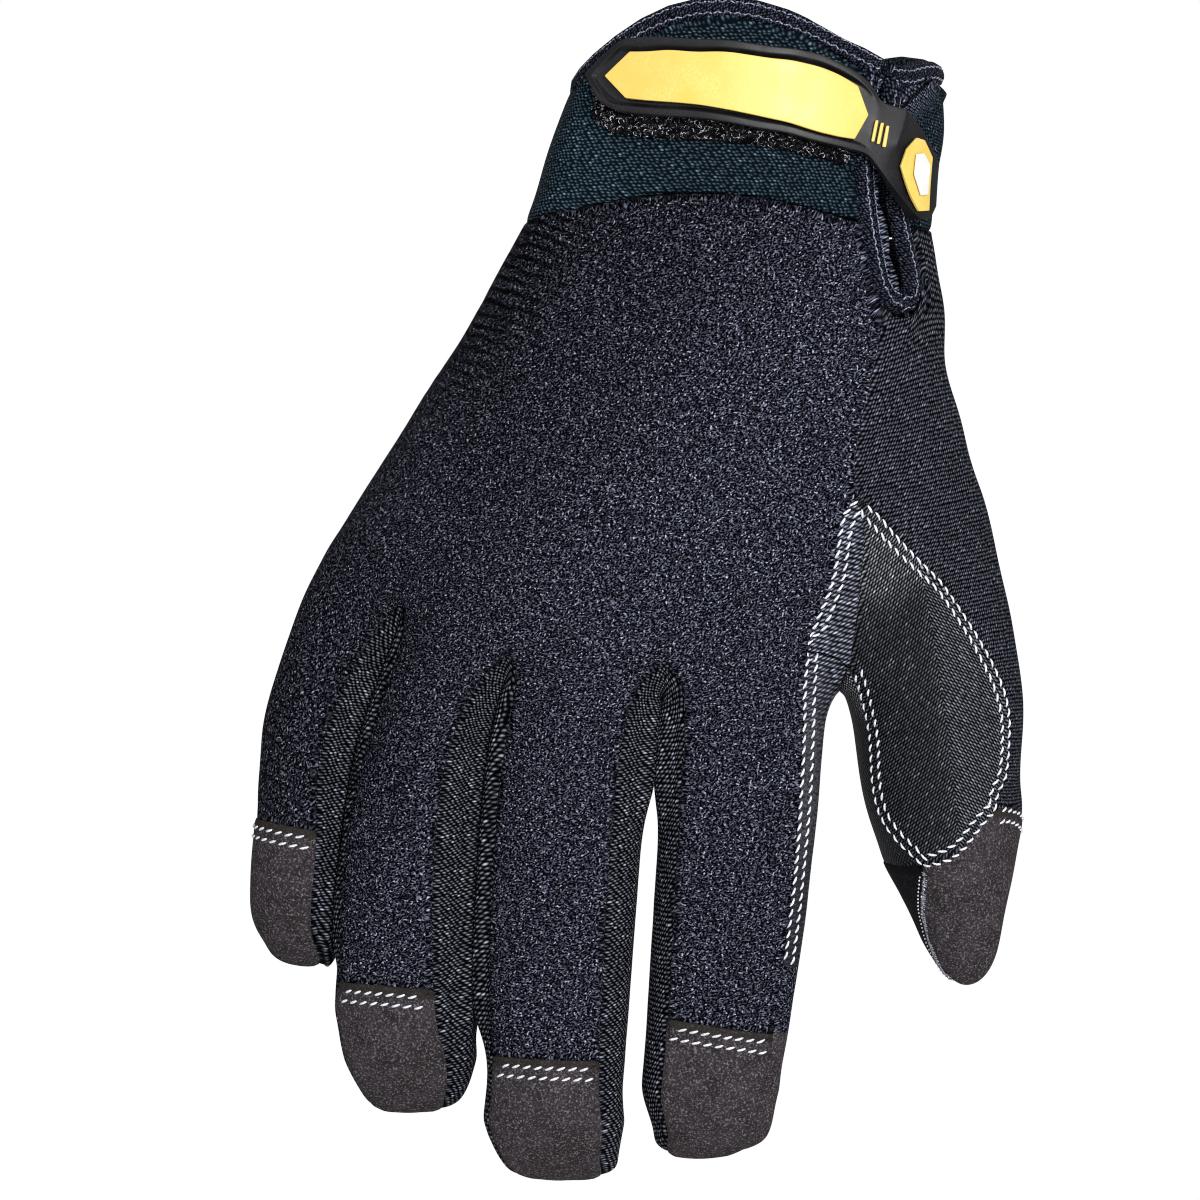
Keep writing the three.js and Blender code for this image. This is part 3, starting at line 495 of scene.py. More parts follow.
LOOP_LENGTH = 0.66 * MM
LOOP_ACROSS = 0.37 * MM
PATCH_SIZE = 1.5 * MM
MOUND = 1.9 * MM
GLINT_SIZE = 0.6 * MM
GATHER_PITCH = 2.9 * MM


def make_knit():
    """Polyester seed-stitch knit: plump loops of near-black yarn about 0.7 mm long, lying one way in some
    patches and across it in others, over soft mounds 2 mm apart. The crowns carry a painted grey-blue
    highlight, with painted glints on a few, and painted shade darkens the knit in the wrist gathers and
    towards the upper left of the back."""
    material = new_material("seed_stitch_knit", 0.85, 0.02)
    place = cloth_place(material)
    level, rising, patches, points = [
        add_node(material, "TexNoise", {"noise_dimensions": "2D"},
                 {"Vector": spot, "Scale": scale, "Detail": 0.0}).outputs[0]
        for spot, scale in (
            (yarn_rows(place, LOOP_LENGTH, LOOP_ACROSS, math.radians(12)), 1.0),
            (yarn_rows(place, LOOP_LENGTH, LOOP_ACROSS, math.radians(56)), 1.0),
            (place, 1 / PATCH_SIZE), (place, 1 / GLINT_SIZE))]
    loops = add_node(material, "Mix", {"data_type": "FLOAT"}, {
        0: rescale(patches, 0.45, 0.55), 2: rescale(level, 0.35, 0.68, kind="LINEAR"),
        3: rescale(rising, 0.35, 0.68, kind="LINEAR")}).outputs[0]
    mounds, _ = flecks(place, MOUND, MOUND, math.radians(40), 0.8)
    _, chance = flecks(place, LOOP_LENGTH, 2 * LOOP_ACROSS, math.radians(-12), 1.0)
    height = reckon("MULTIPLY", loops, rescale(mounds, 0.0, 1.0, 0.72, 1.1, "LINEAR"))
    colour = yarn_colour_and_highlight(height, chance, "#020207", "#686b7d", 0.92, 2.5)
    # Painted glints: where a fine noise peaks, the crowns are lightened towards #b4b8c8.
    colour = blend_colours(reckon("MULTIPLY", rescale(points, 0.74, 0.80), height), colour, "#b4b8c8")
    gathered, painted_falloff = wrist_gathers(material)
    # Painted shade: the colour darkens in the gather valleys and towards the upper left of the back.
    shade = reckon("MULTIPLY", painted_falloff, rescale(gathered, 0.0, 1.0, 1.0, 0.12, "LINEAR"))
    colour = add_node(material, "VectorMath", {"operation": "SCALE"}, {0: colour, "Scale": shade}).outputs[0]
    relief = reckon("ADD", mounds, reckon("MULTIPLY", loops, 0.5))
    relief = reckon("SUBTRACT", relief, reckon("MULTIPLY", gathered, 2.5))
    return finished(material, painted_seam_shade(colour), relief, 0.25 * MM, 0.6)


def wrist_gathers(material):
    """The valleys where the knit gathers into ribs beside the little-finger edge of the wrist: 1 in them and
    0 away from them. Also a painted shade, a share from 1 down to 0.66 that darkens the knit towards the
    upper left of the back."""
    spot = add_node(material, "TexCoord").outputs["Object"]
    across, inward, along, lean = [
        add_node(spot, "VectorMath", {"operation": "DOT_PRODUCT"}, {0: spot, 1: way}).outputs["Value"]
        for way in ((0.375, 0, 0.927), (0.859, 0, -0.512), (0.512, 0, 0.859), (-0.8, 0, 0.6))]
    turns = reckon("MULTIPLY", across, 2 * math.pi / GATHER_PITCH)
    turns = reckon("ADD", turns, reckon("MULTIPLY", mottle(material, 8 * MM, 1.0), 7.0))
    beside = rescale(inward, -27 * MM, -5 * MM, 1.0, 0.0)
    upper = rescale(along, -112 * MM, -80 * MM)
    valleys = rescale(reckon("SINE", turns), -0.1, 0.95)
    gathered = reckon("MULTIPLY", valleys, reckon("MULTIPLY", beside, upper))
    # The second value is painted shade, darker towards the upper left of the back.
    return gathered, rescale(lean, -45 * MM, -2 * MM, 1.0, 0.66)


def make_lining():
    """Brushed fleece lining: a soft matt dark pile. Each panel lists it, but no face shows it yet."""
    material = new_material("brushed_fleece", 0.95, 0.2, 0.4, "#9a9aa6")
    tufts = mottle(material, 1.4 * MM, 4.0, 0.6)
    return finished(material, blend_colours(tufts, "#0e0e12", "#2a2a31"), tufts, 0.4 * MM, 0.7)


# The folds where the knit gathers at the little-finger side of the wrist, each from one x, z to another in
# millimetres, with its depth.
WRIST_FOLDS = [
    {"start": (-55.7, -43.3), "end": (-50.1, -46.7), "depth": 0.8},
    {"start": (-62.9, -51.2), "end": (-52.4, -58.2), "depth": 1.0},
    {"start": (-68.1, -63.5), "end": (-60.5, -70.5), "depth": 0.9},
    {"start": (-72.6, -67.4), "end": (-64.5, -75.0), "depth": 0.9},
    {"start": (-75.3, -71.0), "end": (-67.7, -78.8), "depth": 0.8},
    {"start": (-77.3, -75.0), "end": (-70.4, -82.0), "depth": 0.7},
]
FOLD_WIDTH = 1.5


def wrist_folds(place, edge):
    """How far the wrist folds move the cloth at a place, in metres."""
    x, z = place.x / MM, place.z / MM
    lift = 0.0
    for fold in WRIST_FOLDS:
        (x0, z0), (x1, z1) = fold["start"], fold["end"]
        along = ((x - x0) * (x1 - x0) + (z - z0) * (z1 - z0)) / ((x1 - x0) ** 2 + (z1 - z0) ** 2)
        share = min(1.0, max(0.0, along))
        away = math.hypot(x - x0 - share * (x1 - x0), z - z0 - share * (z1 - z0))
        lift -= fold["depth"] * math.exp(-(away / FOLD_WIDTH) ** 2)
    return lift * MM


knit = make_knit()
lining = make_lining()
knit_back = make_panel("knit_back", "back_panel", 3, flush=("thumb_back",))
sew_in(knit_back, "back_panel", "textured_knit", knit,
       pucker=(5.5, 0.28, 5), swell=(17, 0.22), lift=wrist_folds)


# Leather palm
# The palm, the palm side of the fingers and the outer side of the index finger are one cut of matt
# synthetic leather, sewn to the knit along the little finger and the index finger.
def make_palm_leather():
    """Synthetic palm leather: a matt grey skin of fine pebbles, faintly mottled, its high spots worn pale."""
    material = new_material("synthetic_palm_leather", 0.6, 0.1)
    place = add_node(material, "TexCoord").outputs["Object"]
    grain = add_node(material, "TexVoronoi", {"feature": "SMOOTH_F1"},
                     {"Vector": place, "Scale": 1 / (0.75 * MM), "Smoothness": 0.4}).outputs["Distance"]
    pores = mottle(material, 0.4 * MM, 3.0)
    colour = blend_colours(rescale(mottle(material, 14 * MM, 4.0, 0.6), 0.3, 0.7), "#303137", "#424349")
    flecked = blend_colours(rescale(pores, 0.5, 0.72, 0.0, 0.6), colour, "#7b7c86")
    relief = reckon("ADD", reckon("MULTIPLY", grain, -1.0), pores)
    return finished(material, painted_seam_shade(flecked, 1.2 * MM, 0.4), relief, 0.18 * MM, 0.7)


palm_leather = make_palm_leather()
leather_palm = make_panel("leather_palm", "palm_panel", 2, flush=("tip_cap_index", "web_patch"))
sew_in(leather_palm, "palm_panel", "palm_leather", palm_leather, pucker=(6, 0.25, 5), swell=(15, 0.3))


# Finger side walls
# Between the fingers run three walls of fine stretch twill, each from one fingertip round the root to the
# next. The yarn shows as short pale dashes in slanting ribs about 0.6 mm apart.
TWILL_RIB = 0.7 * MM
TWILL_DASH = 1.3 * MM


def make_twill(name, lean, rib=TWILL_RIB, crown_highlight="#b6bacc", spread=2.8):
    """Nylon and elastane twill: dark, with fine diagonal ribs broken into short pale dashes, a painted
    highlight on the rib crowns. The real ribs are 0.6 mm apart, drawn a little coarser so that they show."""
    material = new_material(name, 0.85, 0.02)
    place = cloth_place(material, 0.5 * MM)
    height, chance = flecks(place, TWILL_DASH * rib / TWILL_RIB, rib, lean, 0.3, 0.37)
    colour = yarn_colour_and_highlight(height, chance, "#020204", crown_highlight, 0.85, spread)
    return finished(material, painted_seam_shade(colour), height, 0.3 * MM, 0.6)


# How far below its closed part a wall's swelling fades out, how far in from its seams it is full, and the
# most that it swells.
WALL_FADE = 12 * MM
WALL_FULL = 4.5 * MM
MOST_SWELLING = 3 * MM


def outer_side(piece):
    """A panel's outer side, as a surface to look points up on and as the numbers of its vertices."""
    mesh = piece.data
    outer = mesh.attributes["outer"].data
    faces = [tuple(polygon.vertices) for polygon in mesh.polygons if outer[polygon.index].value]
    surface = BVHTree.FromPolygons([vert.co for vert in mesh.vertices], faces)
    return surface, sorted({vert for face in faces for vert in face})


def swell_wall(piece, closed_down_to):
    """Swells the padding of a wall until its two sides touch, down to that height and less below it."""
    mesh = piece.data
    edge = mesh.attributes["edge"].data
    surface, shown = outer_side(piece)
    lifts = {}
    for index in shown:
        vert = mesh.vertices[index]
        hit = surface.ray_cast(vert.co + vert.normal * 0.2 * MM, vert.normal, 9 * MM)
        apart = hit[3] if hit[0] is not None and hit[1].dot(vert.normal) < -0.3 else 0.0
        full = min(1.0, edge[index].value / WALL_FULL)
        down = min(1.0, max(0.0, (vert.co.z - closed_down_to) / WALL_FADE + 1))
        lifts[index] = 0.53 * apart * full * (2 - full) * down * down * (3 - 2 * down)
    links = {index: [] for index in shown}
    for mesh_edge in mesh.edges:
        a, b = mesh_edge.vertices
        if a in links and b in links:
            links[a].append(b)
            links[b].append(a)
    for _ in range(12):
        lifts = {i: (2 * lifts[i] + sum(lifts[j] for j in links[i])) / (2 + len(links[i])) for i in shown}
    moves = [mesh.vertices[i].normal * min(lifts[i], MOST_SWELLING) for i in shown]
    for i, move in zip(shown, moves):
        mesh.vertices[i].co += move
    mesh.update()


finger_twill = make_twill("finger_twill", math.radians(-52))
# Each wall's padding is closed down to that height, in metres.
WALLS = {"little_ring": -0.205, "ring_middle": -0.212, "middle_index": -0.160}
for fingers, closed_down_to in WALLS.items():
    node = "fourchette_" + fingers
    wall = make_panel("wall_" + fingers, node, 3)
    swell_wall(wall, closed_down_to)
    sew_in(wall, node, "twill_stretch", finger_twill, pucker=(5, 0.25, 6))


# Fingertip caps
# Each fingertip has a cap of brown-grey synthetic suede laid over the knit, its top edge folded under and
# held by two rows of slanting white stitches.
THREAD_ACROSS = 0.6 * MM
STITCH_LENGTH = 2.45 * MM
STITCH_PITCH = 2.65 * MM
STITCH_SLANT = math.radians(22)
CAP_ROWS = (2.0 * MM, 4.3 * MM)
CAP_ROLL = 0.6 * MM


def make_suede(name, deep, pale, fleck, fold_colour):
    """Synthetic suede: short brushed nap whose tips catch the light as fine pale flecks, over a soft mottle,
    and darker where it is folded under at the seam, with painted shade right at the seam."""
    material = new_material(name, 0.95, 0.04, 0.03, "#c8beb8")
    nap = mottle(material, 0.5 * MM, 2.0, 0.7)
    folded = add_node(material, "Attribute", {"attribute_name": "folded"}).outputs["Fac"]
    ground = blend_colours(rescale(mottle(material, 5 * MM, 3.0, 0.6), 0.3, 0.7), deep, pale)
    dark = blend_colours(rescale(nap, 0.28, 0.5, 0.45, 0.0), ground, "#0c0b0c")
    colour = blend_colours(rescale(nap, 0.5, 0.74, 0.0, 0.75), dark, fleck)
    worn = blend_colours(rescale(folded, 0.3, 0.6, 0.0, 0.75), colour, fold_colour)
    return finished(material, painted_seam_shade(worn, 0.6 * MM, 0.45), nap, 0.25 * MM, 0.6)


def make_thread(name, shade, light):
    """Polyester sewing thread: two bright plies twisted together, with a faint blue shade between."""
    material = new_material(name, 0.55, 0.3, 0.2)
    fibres = mottle(material, 0.35 * MM, 2.0)
    return finished(material, blend_colours(rescale(fibres, 0.35, 0.65), shade, light), fibres, 0.1 * MM, 0.6)


def make_stitch(length, across, around=6):
    """One stitch as it shows on top: a short thread that dips into the cloth at both ends."""
    shape = bmesh.new()
    bmesh.ops.create_uvsphere(shape, u_segments=around, v_segments=around, radius=0.5)
    bmesh.ops.rotate(shape, verts=shape.verts, matrix=Matrix.Rotation(math.pi / 2, 3, "Y"))
    bmesh.ops.scale(shape, verts=shape.verts, vec=(length, across, across * 0.85))
    for vert in shape.verts:
        vert.co.z += across * (0.32 - 0.75 * (2 * vert.co.x / length) ** 2)
    mesh = bpy.data.meshes.new("stitch")
    shape.to_mesh(mesh)
    shape.free()
    return mesh


def join_copies(name, prototype, places):
    """One mesh object of a prototype repeated at each place."""
    joined = bmesh.new()
    for place in places:
        copy = prototype.copy()
        copy.transform(place)
        joined.from_mesh(copy)
        bpy.data.meshes.remove(copy)
    return rounded(name, joined, 0)


def seam_runs(piece, own, beside):
    """The stretches of a panel's seam that lie beside the named solids, each as its points in order."""
    mesh = piece.data
    links = {}
    for edge in mesh.edges:
        if edge.use_seam:
            first, second = edge.vertices
            links.setdefault(first, []).append(second)
            links.setdefault(second, []).append(first)
    runs = []
    seen = set()
    for start in sorted(links):
        if start in seen:
            continue
        loop = [start]
        seen.add(start)
        while True:
            ahead = [vert for vert in links[loop[-1]] if vert not in seen]
            if not ahead:
                break
            loop.append(min(ahead))
            seen.add(loop[-1])
        points = [mesh.vertices[vert].co.copy() for vert in loop]
        kept = [neighbour(point, own) in beside for point in points]
        if all(kept):
            runs.append(points + points[:1])
            continue
        if not any(kept):
            continue
        first = next(i for i in range(len(kept)) if kept[i] and not kept[i - 1])
        run = []
        for step in range(len(kept) + 1):
            i = (first + step) % len(kept)
            if step < len(kept) and kept[i]:
                run.append(points[i])
            elif run:
                runs.append(run)
                run = []
    return [run for run in runs if len(run) > 3]


def path_length(points):
    return sum((b - a).length for a, b in zip(points, points[1:]))


def along_path(points, pitch, start=0.0):
    """Points and directions at an even pitch along a path."""
    result = []
    target = start
    done = 0.0
    for a, b in zip(points, points[1:]):
        step = (b - a).length
        while step and target <= done + step:
            result.append((a.lerp(b, (target - done) / step), (b - a).normalized()))
            target += pitch
        done += step
    return result


def eased(points, rounds=3):
    """A path with its small kinks smoothed away, its ends kept."""
    for _ in range(rounds):
        middle = [(a + 2 * b + c) / 4 for a, b, c in zip(points, points[1:], points[2:])]
        points = [points[0], *middle, points[-1]]
    return points


PATH_WIDTH = 0.7 * MM


def inset_path(piece, surface, outer_verts, run, inset):
    """A path on a panel that keeps a distance from a stretch of its seam."""
    mesh = piece.data
    edge = mesh.attributes["edge"].data
    tree = point_tree([mesh.vertices[vert].co for vert in outer_verts
                       if abs(edge[vert].value - inset) < PATH_WIDTH])
    moved = []
    path = eased(run)
    for i, point in enumerate(path):
        ahead = path[min(i + 1, len(path) - 1)]
        behind = path[max(i - 1, 0)]
        tangent = (ahead - behind).normalized()
        aim = tree.find(point)[0] - point
        inward = (aim - aim.project(tangent)).normalized()
        moved.append(surface.find_nearest(point + inward * inset)[0])
    return eased(moved)


def stitch_at(spot, normal, tangent, slant):
    """Where one stitch lies: along the tangent on the surface there, turned by its slant."""
    side = normal.cross(tangent).normalized()
    turned = side.cross(normal) * math.cos(slant) + side * math.sin(slant)
    place = Matrix((turned, normal.cross(turned), normal)).transposed().to_4x4()
    place.translation = spot
    return place


ROW_START = 0.7 * MM
SHORTEST_ROW = 4 * MM
END_GAP = 1.3 * MM
SHORT_END_GAP = 0.5 * MM


def stitch_places(piece, own, beside, insets, pitch=STITCH_PITCH, slant=STITCH_SLANT, end_gap=END_GAP):
    """Where the stitches go: rows at each inset from the seam that a panel shares with the named solids."""
    surface, outer_verts = outer_side(piece)
    places = []
    for run in seam_runs(piece, own, beside):
        if path_length(run) < SHORTEST_ROW:
            continue
        for number, inset in enumerate(insets):
            row = inset_path(piece, surface, outer_verts, run, inset)
            ends = [] if (run[0] - run[-1]).length < 0.1 * MM else [row[0], row[-1]]
            for point, tangent in along_path(row, pitch, ROW_START + pitch * 0.5 * (number % 2)):
                if all((point - end).length >= end_gap for end in ends):
                    spot, normal, _, _ = surface.find_nearest(point)
                    places.append(stitch_at(spot, normal, tangent, slant))
    return places


def add_sewing(piece, material):
    """Gives the material and slot to a piece that the solids don't have, such as stitches."""
    piece.data.materials.append(material)
    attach(piece, "root")


FOLD_DEPTH = 3 * MM


def note_fold(piece, own, beside):
    """Stores how near each vertex is to the seams where a cap is folded under: 1 there, 0 away from it."""
    mesh = piece.data
    distances = seam_distances(piece, lambda vert: neighbour(mesh.vertices[vert].co, own) in beside)
    shares = [max(0.0, 1 - distance / FOLD_DEPTH) for distance in distances]
    mesh.attributes.new("folded", "FLOAT", "POINT").data.foreach_set("value", shares)


CAP_PUCKER = (4.5, 0.15, 5)


def cap_dents(place, edge):
    return 0.12 * MM * noise.noise(place / (8 * MM))


suede = make_suede("napped_suede", "#292628", "#373236", "#857e83", "#27241f")
thread = make_thread("sewing_thread", "#b4b8cc", "#fbfbfb")
stitch = make_stitch(STITCH_LENGTH, THREAD_ACROSS)
cap_places = []
for finger in ("little", "ring", "middle", "index"):
    node = f"tip_cap_{finger}"
    cap = make_panel(f"cap_{finger}", node, 3, CAP_ROLL, ("palm_panel",) if finger == "index" else ())
    note_fold(cap, node, ("back_panel",))
    sew_in(cap, node, "suede", suede, pucker=CAP_PUCKER, lift=cap_dents)
    cap_places += stitch_places(cap, node, ["back_panel"], CAP_ROWS)
add_sewing(join_copies("cap_stitches", stitch, cap_places), thread)


# Thumb
# The outer side of the thumb is fine stretch twill. Its inner face has a pad of coarse woven nylon with a
# patch of the same cloth in the crook of the thumb, both sewn on with double rows of white stitches. The
# tip is suede in two halves, the palm-side half a darker copy that carries painted shade. Leather backs the
# side towards the index finger, drawn as a darker woven nylon with straight rows, its darkness painted shade.
WEAVE_BUMP = 1.1 * MM
WEAVE_ROW = 0.7 * MM
CHEVRON_SLOPE = math.radians(30)


def make_woven_nylon(name, dark, pale, middle, slope, glint, tilt=0.0):
    """Ballistic nylon: thick glossy yarns in a tight weave, whose crowns show as rows of small ovals. The
    real rows are 0.55 mm apart, drawn a little coarser so that they show.

    The rows rise to a ridge along the line where the cloth's U is middle, or run straight where it is None.
    The crowns carry a painted highlight, palest round the place that glint names; on a ridged cloth the half
    on the low-U side of the ridge is painted darker, as shade."""
    material = new_material(name, 0.5, 0.04)
    place = add_node(material, "Mapping", {"vector_type": "TEXTURE"},
                     {"Vector": cloth_place(material), "Location": (middle or 0.0, 0, 0),
                      "Rotation": (0, 0, tilt)}).outputs[0]
    apart = add_node(place, "SeparateXYZ", (), {0: place})
    u, v = apart.outputs[0], apart.outputs[1]
    if middle is not None:
        u = reckon("ABSOLUTE", u)
    row = reckon("ADD", v, reckon("MULTIPLY", u, math.tan(slope)))
    row = reckon("DIVIDE", row, WEAVE_ROW / math.cos(slope))
    column = reckon("DIVIDE", u, WEAVE_BUMP * math.cos(slope))
    column = reckon("ADD", column, reckon("MULTIPLY", row, 0.5))
    cell = add_node(row, "CombineXYZ", (), {0: column, 1: row}).outputs[0]
    crowns = add_node(cell, "TexVoronoi", {"voronoi_dimensions": "2D"},
                      {"Vector": cell, "Scale": 1.0, "Randomness": 0.12})
    height = rescale(crowns.outputs["Distance"], 0.1, 0.6, 1.0, 0.0)
    chance = add_node(cell, "SeparateColor", (), {0: crowns.outputs["Color"]}).outputs[0]
    # Painted shade: on a ridged cloth the half on the low-U side of the ridge is painted darker.
    if middle is not None:
        height = reckon("MULTIPLY", height, rescale(apart.outputs[0], -4 * MM, 3 * MM, 0.66, 1.0))
    # Painted highlight: the crowns turn paler, up to #eef0fa, near the glint place.
    spot = add_node(material, "TexCoord").outputs["Object"]
    away = add_node(spot, "VectorMath", {"operation": "DISTANCE"}, {0: spot, 1: glint}).outputs["Value"]
    paler = blend_colours(rescale(away, 4 * MM, 15 * MM, 0.85, 0.0), pale, "#eef0fa")
    colour = yarn_colour_and_highlight(height, chance, dark, paler, 0.92, 2.2)
    return finished(material, painted_seam_shade(colour, 0.9 * MM, 0.5), height, 0.3 * MM, 0.8)


# Between which heights the satin ribs smooth out into leather, and the leather's worn shine ends.
SMOOTHED_OUT = (-156 * MM, -130 * MM)
WORN_DOWN = (-190 * MM, -165 * MM)


def make_satin_rib():
    """Satin-ribbed nylon in the crook of the thumb: ribs that rise to the right, their crowns bright with a
    painted highlight that fades into painted shade towards the right, smoothing out into plain worn leather
    down the side of the index finger. The real ribs are 0.5 mm apart, drawn coarser."""
    material = new_material("satin_ribbed_nylon", 0.45, 0.06)
    spot = add_node(material, "TexCoord").outputs["Object"]
    apart = add_node(spot, "SeparateXYZ", (), {0: spot})
    x, z = apart.outputs[0], apart.outputs[2]
    place = add_node(spot, "CombineXYZ", (), {0: x, 1: z}).outputs[0]
    height, chance = flecks(place, 1.7 * MM, 0.68 * MM, math.radians(33), 0.25, 0.4)
    # Painted shade: the ribs darken to 0.55 towards the fold at the right.
    lit = reckon("MULTIPLY", height, rescale(x, 21 * MM, 29 * MM, 1.0, 0.55))
    ribs = yarn_colour_and_highlight(lit, chance, "#030307", "#b6bcd2", 0.92, 2.3)
    nap = mottle(material, 0.6 * MM, 3.0)
    worn = blend_colours(rescale(z, *WORN_DOWN), "#1f2027", "#434348")
    plain = blend_colours(rescale(nap, 0.35, 0.65), "#1c1c20", worn)
    colour = blend_colours(rescale(z, *SMOOTHED_OUT, 0.9, 0.0), ribs, plain)
    return finished(material, painted_seam_shade(colour, 0.9 * MM, 0.5), height, 0.25 * MM, 0.6)


thumb_twill = make_twill("thumb_twill", math.radians(55), 0.62 * MM, "#868a9c", 2.2)
# Where the painted highlight on the pad and on the thumb's side is brightest, in metres.
PAD_GLINT = (25 * MM, -8 * MM, -109 * MM)
SIDE_GLINT = (19 * MM, -5 * MM, -136 * MM)
pad_weave = make_woven_nylon("ballistic_nylon_pad", "#010102", "#858894", 2.5 * MM, CHEVRON_SLOPE, PAD_GLINT,
                             math.radians(8))
# The thumb's side: a darker copy of the pad's nylon with straight rows, its darkness painted shade.
shaded_side_weave = make_woven_nylon("ballistic_nylon_side_shaded", "#000001", "#4c4f59", None, -CHEVRON_SLOPE, SIDE_GLINT)
satin_rib = make_satin_rib()
# Painted shade: the palm-side half of the thumb tip gets a darker copy of the suede.
shaded_suede = make_suede("shaded_tip_suede", "#0a0a0f", "#121218", "#3a3a44", "#08080c")
PAD_WAVES = {"pucker": (5, 0.15, 5)}
TIP_WAVES = {"pucker": CAP_PUCKER, "lift": cap_dents}
THUMB_PANELS = [
    {"piece": "thumb_outer", "node": "thumb_back", "slot": "twill_stretch", "cloth": thumb_twill,
     "roll": BACK_ROLL, "flush": ("back_panel",), "waves": {"pucker": (6, 0.22, 5), "swell": (13, 0.25)}},
    {"piece": "thumb_pad_cloth", "node": "thumb_pad", "slot": "woven_nylon", "cloth": pad_weave,
     "waves": PAD_WAVES},
    {"piece": "web_patch_cloth", "node": "web_patch", "slot": "woven_nylon", "cloth": satin_rib,
     "flush": ("palm_panel",), "waves": PAD_WAVES},
    {"piece": "thumb_side_cloth", "node": "thumb_side", "slot": "palm_leather", "cloth": shaded_side_weave,
     "waves": PAD_WAVES},
    {"piece": "thumb_tip_suede", "node": "thumb_tip", "slot": "suede", "cloth": suede,
     "fold": ("thumb_back",), "waves": TIP_WAVES},
    {"piece": "thumb_tip_side_suede", "node": "thumb_tip_side", "slot": "suede", "cloth": shaded_suede,
     "fold": ("thumb_side",), "waves": TIP_WAVES},
]
thumb_pieces = {}
for plan in THUMB_PANELS:
    node = plan["node"]
    panel = make_panel(plan["piece"], node, 3, plan.get("roll", CAP_ROLL), plan.get("flush", ()))
    if "fold" in plan:
        note_fold(panel, node, plan["fold"])
    sew_in(panel, node, plan["slot"], plan["cloth"], **plan["waves"])
    thumb_pieces[node] = panel

# The front of the palm's leather beside the index finger is satin ribs down to where the strip narrows to
# nothing, then knit, and suede round the fingertip.
STRIP_FROM = -112
KNIT_FROM = -201
CAP_FROM = -217.5
for cloth in (satin_rib, knit, suede):
    leather_palm.data.materials.append(cloth)
for polygon in leather_palm.data.polygons:
    x, _, z = polygon.center / MM
    if polygon.material_index == 0 and x > -10 and z < STRIP_FROM and polygon.normal.y < 0.3:
        polygon.material_index = 4 if z < CAP_FROM else 3 if z < KNIT_FROM else 2

FACE_ROWS = (0.9 * MM, 2.6 * MM)
TIP_ROWS = (0.9 * MM, 3.0 * MM)
FACE_PITCH = 2.5 * MM
thumb_places = []
for own, beside, rows, slant, end_gap in (
    ("thumb_pad", ["thumb_back", "thumb_side", "thumb_tip", "thumb_tip_side"], FACE_ROWS, -STITCH_SLANT,
     END_GAP),
    ("web_patch", ["back_panel", "thumb_back"], FACE_ROWS, -STITCH_SLANT, SHORT_END_GAP),
    ("thumb_tip", ["thumb_back"], TIP_ROWS, STITCH_SLANT, END_GAP),
):
    thumb_places += stitch_places(thumb_pieces[own], own, beside, rows, FACE_PITCH, slant, end_gap)
palm_places = stitch_places(leather_palm, "palm_panel", ["back_panel"], FACE_ROWS, FACE_PITCH, -STITCH_SLANT,
                            SHORT_END_GAP)
thumb_places += [place for place in palm_places if place.translation.z > (KNIT_FROM - 1) * MM]
add_sewing(join_copies("thumb_stitches", stitch, thumb_places), thread)

# The seam down the thumb tip is overlocked with grey thread, with two rows of tiny white stitches beside it.
grey_thread = make_thread("grey_overlock_thread", "#3a3c46", "#a2a5b2")
overlock_places = stitch_places(thumb_pieces["thumb_tip"], "thumb_tip", ["thumb_tip_side"], (0.7 * MM,),
                                0.62 * MM, math.radians(78))
add_sewing(join_copies("tip_overlock", make_stitch(1.7 * MM, 0.5 * MM, 5), overlock_places), grey_thread)
dot_places = stitch_places(thumb_pieces["thumb_tip_side"], "thumb_tip_side", ["thumb_tip"],
                           (0.5 * MM, 1.6 * MM), 1.1 * MM, 0.0)
add_sewing(join_copies("tip_dots", make_stitch(0.6 * MM, 0.45 * MM, 5), dot_places), thread)


# Cuff
# The cuff is neoprene foam faced with a fine jersey. The foam keeps it smooth and round, and the jersey's
# stitches show as faint level rows about a millimetre apart.

# From where to where the cuff is stretched, and where its tab's rolled edge ends and folds, aslant.
STRETCHED = (-44 * MM, -22 * MM)
ROLL_EDGE = (39 * MM, 45 * MM)
ROLL_FOLD = 37.5 * MM


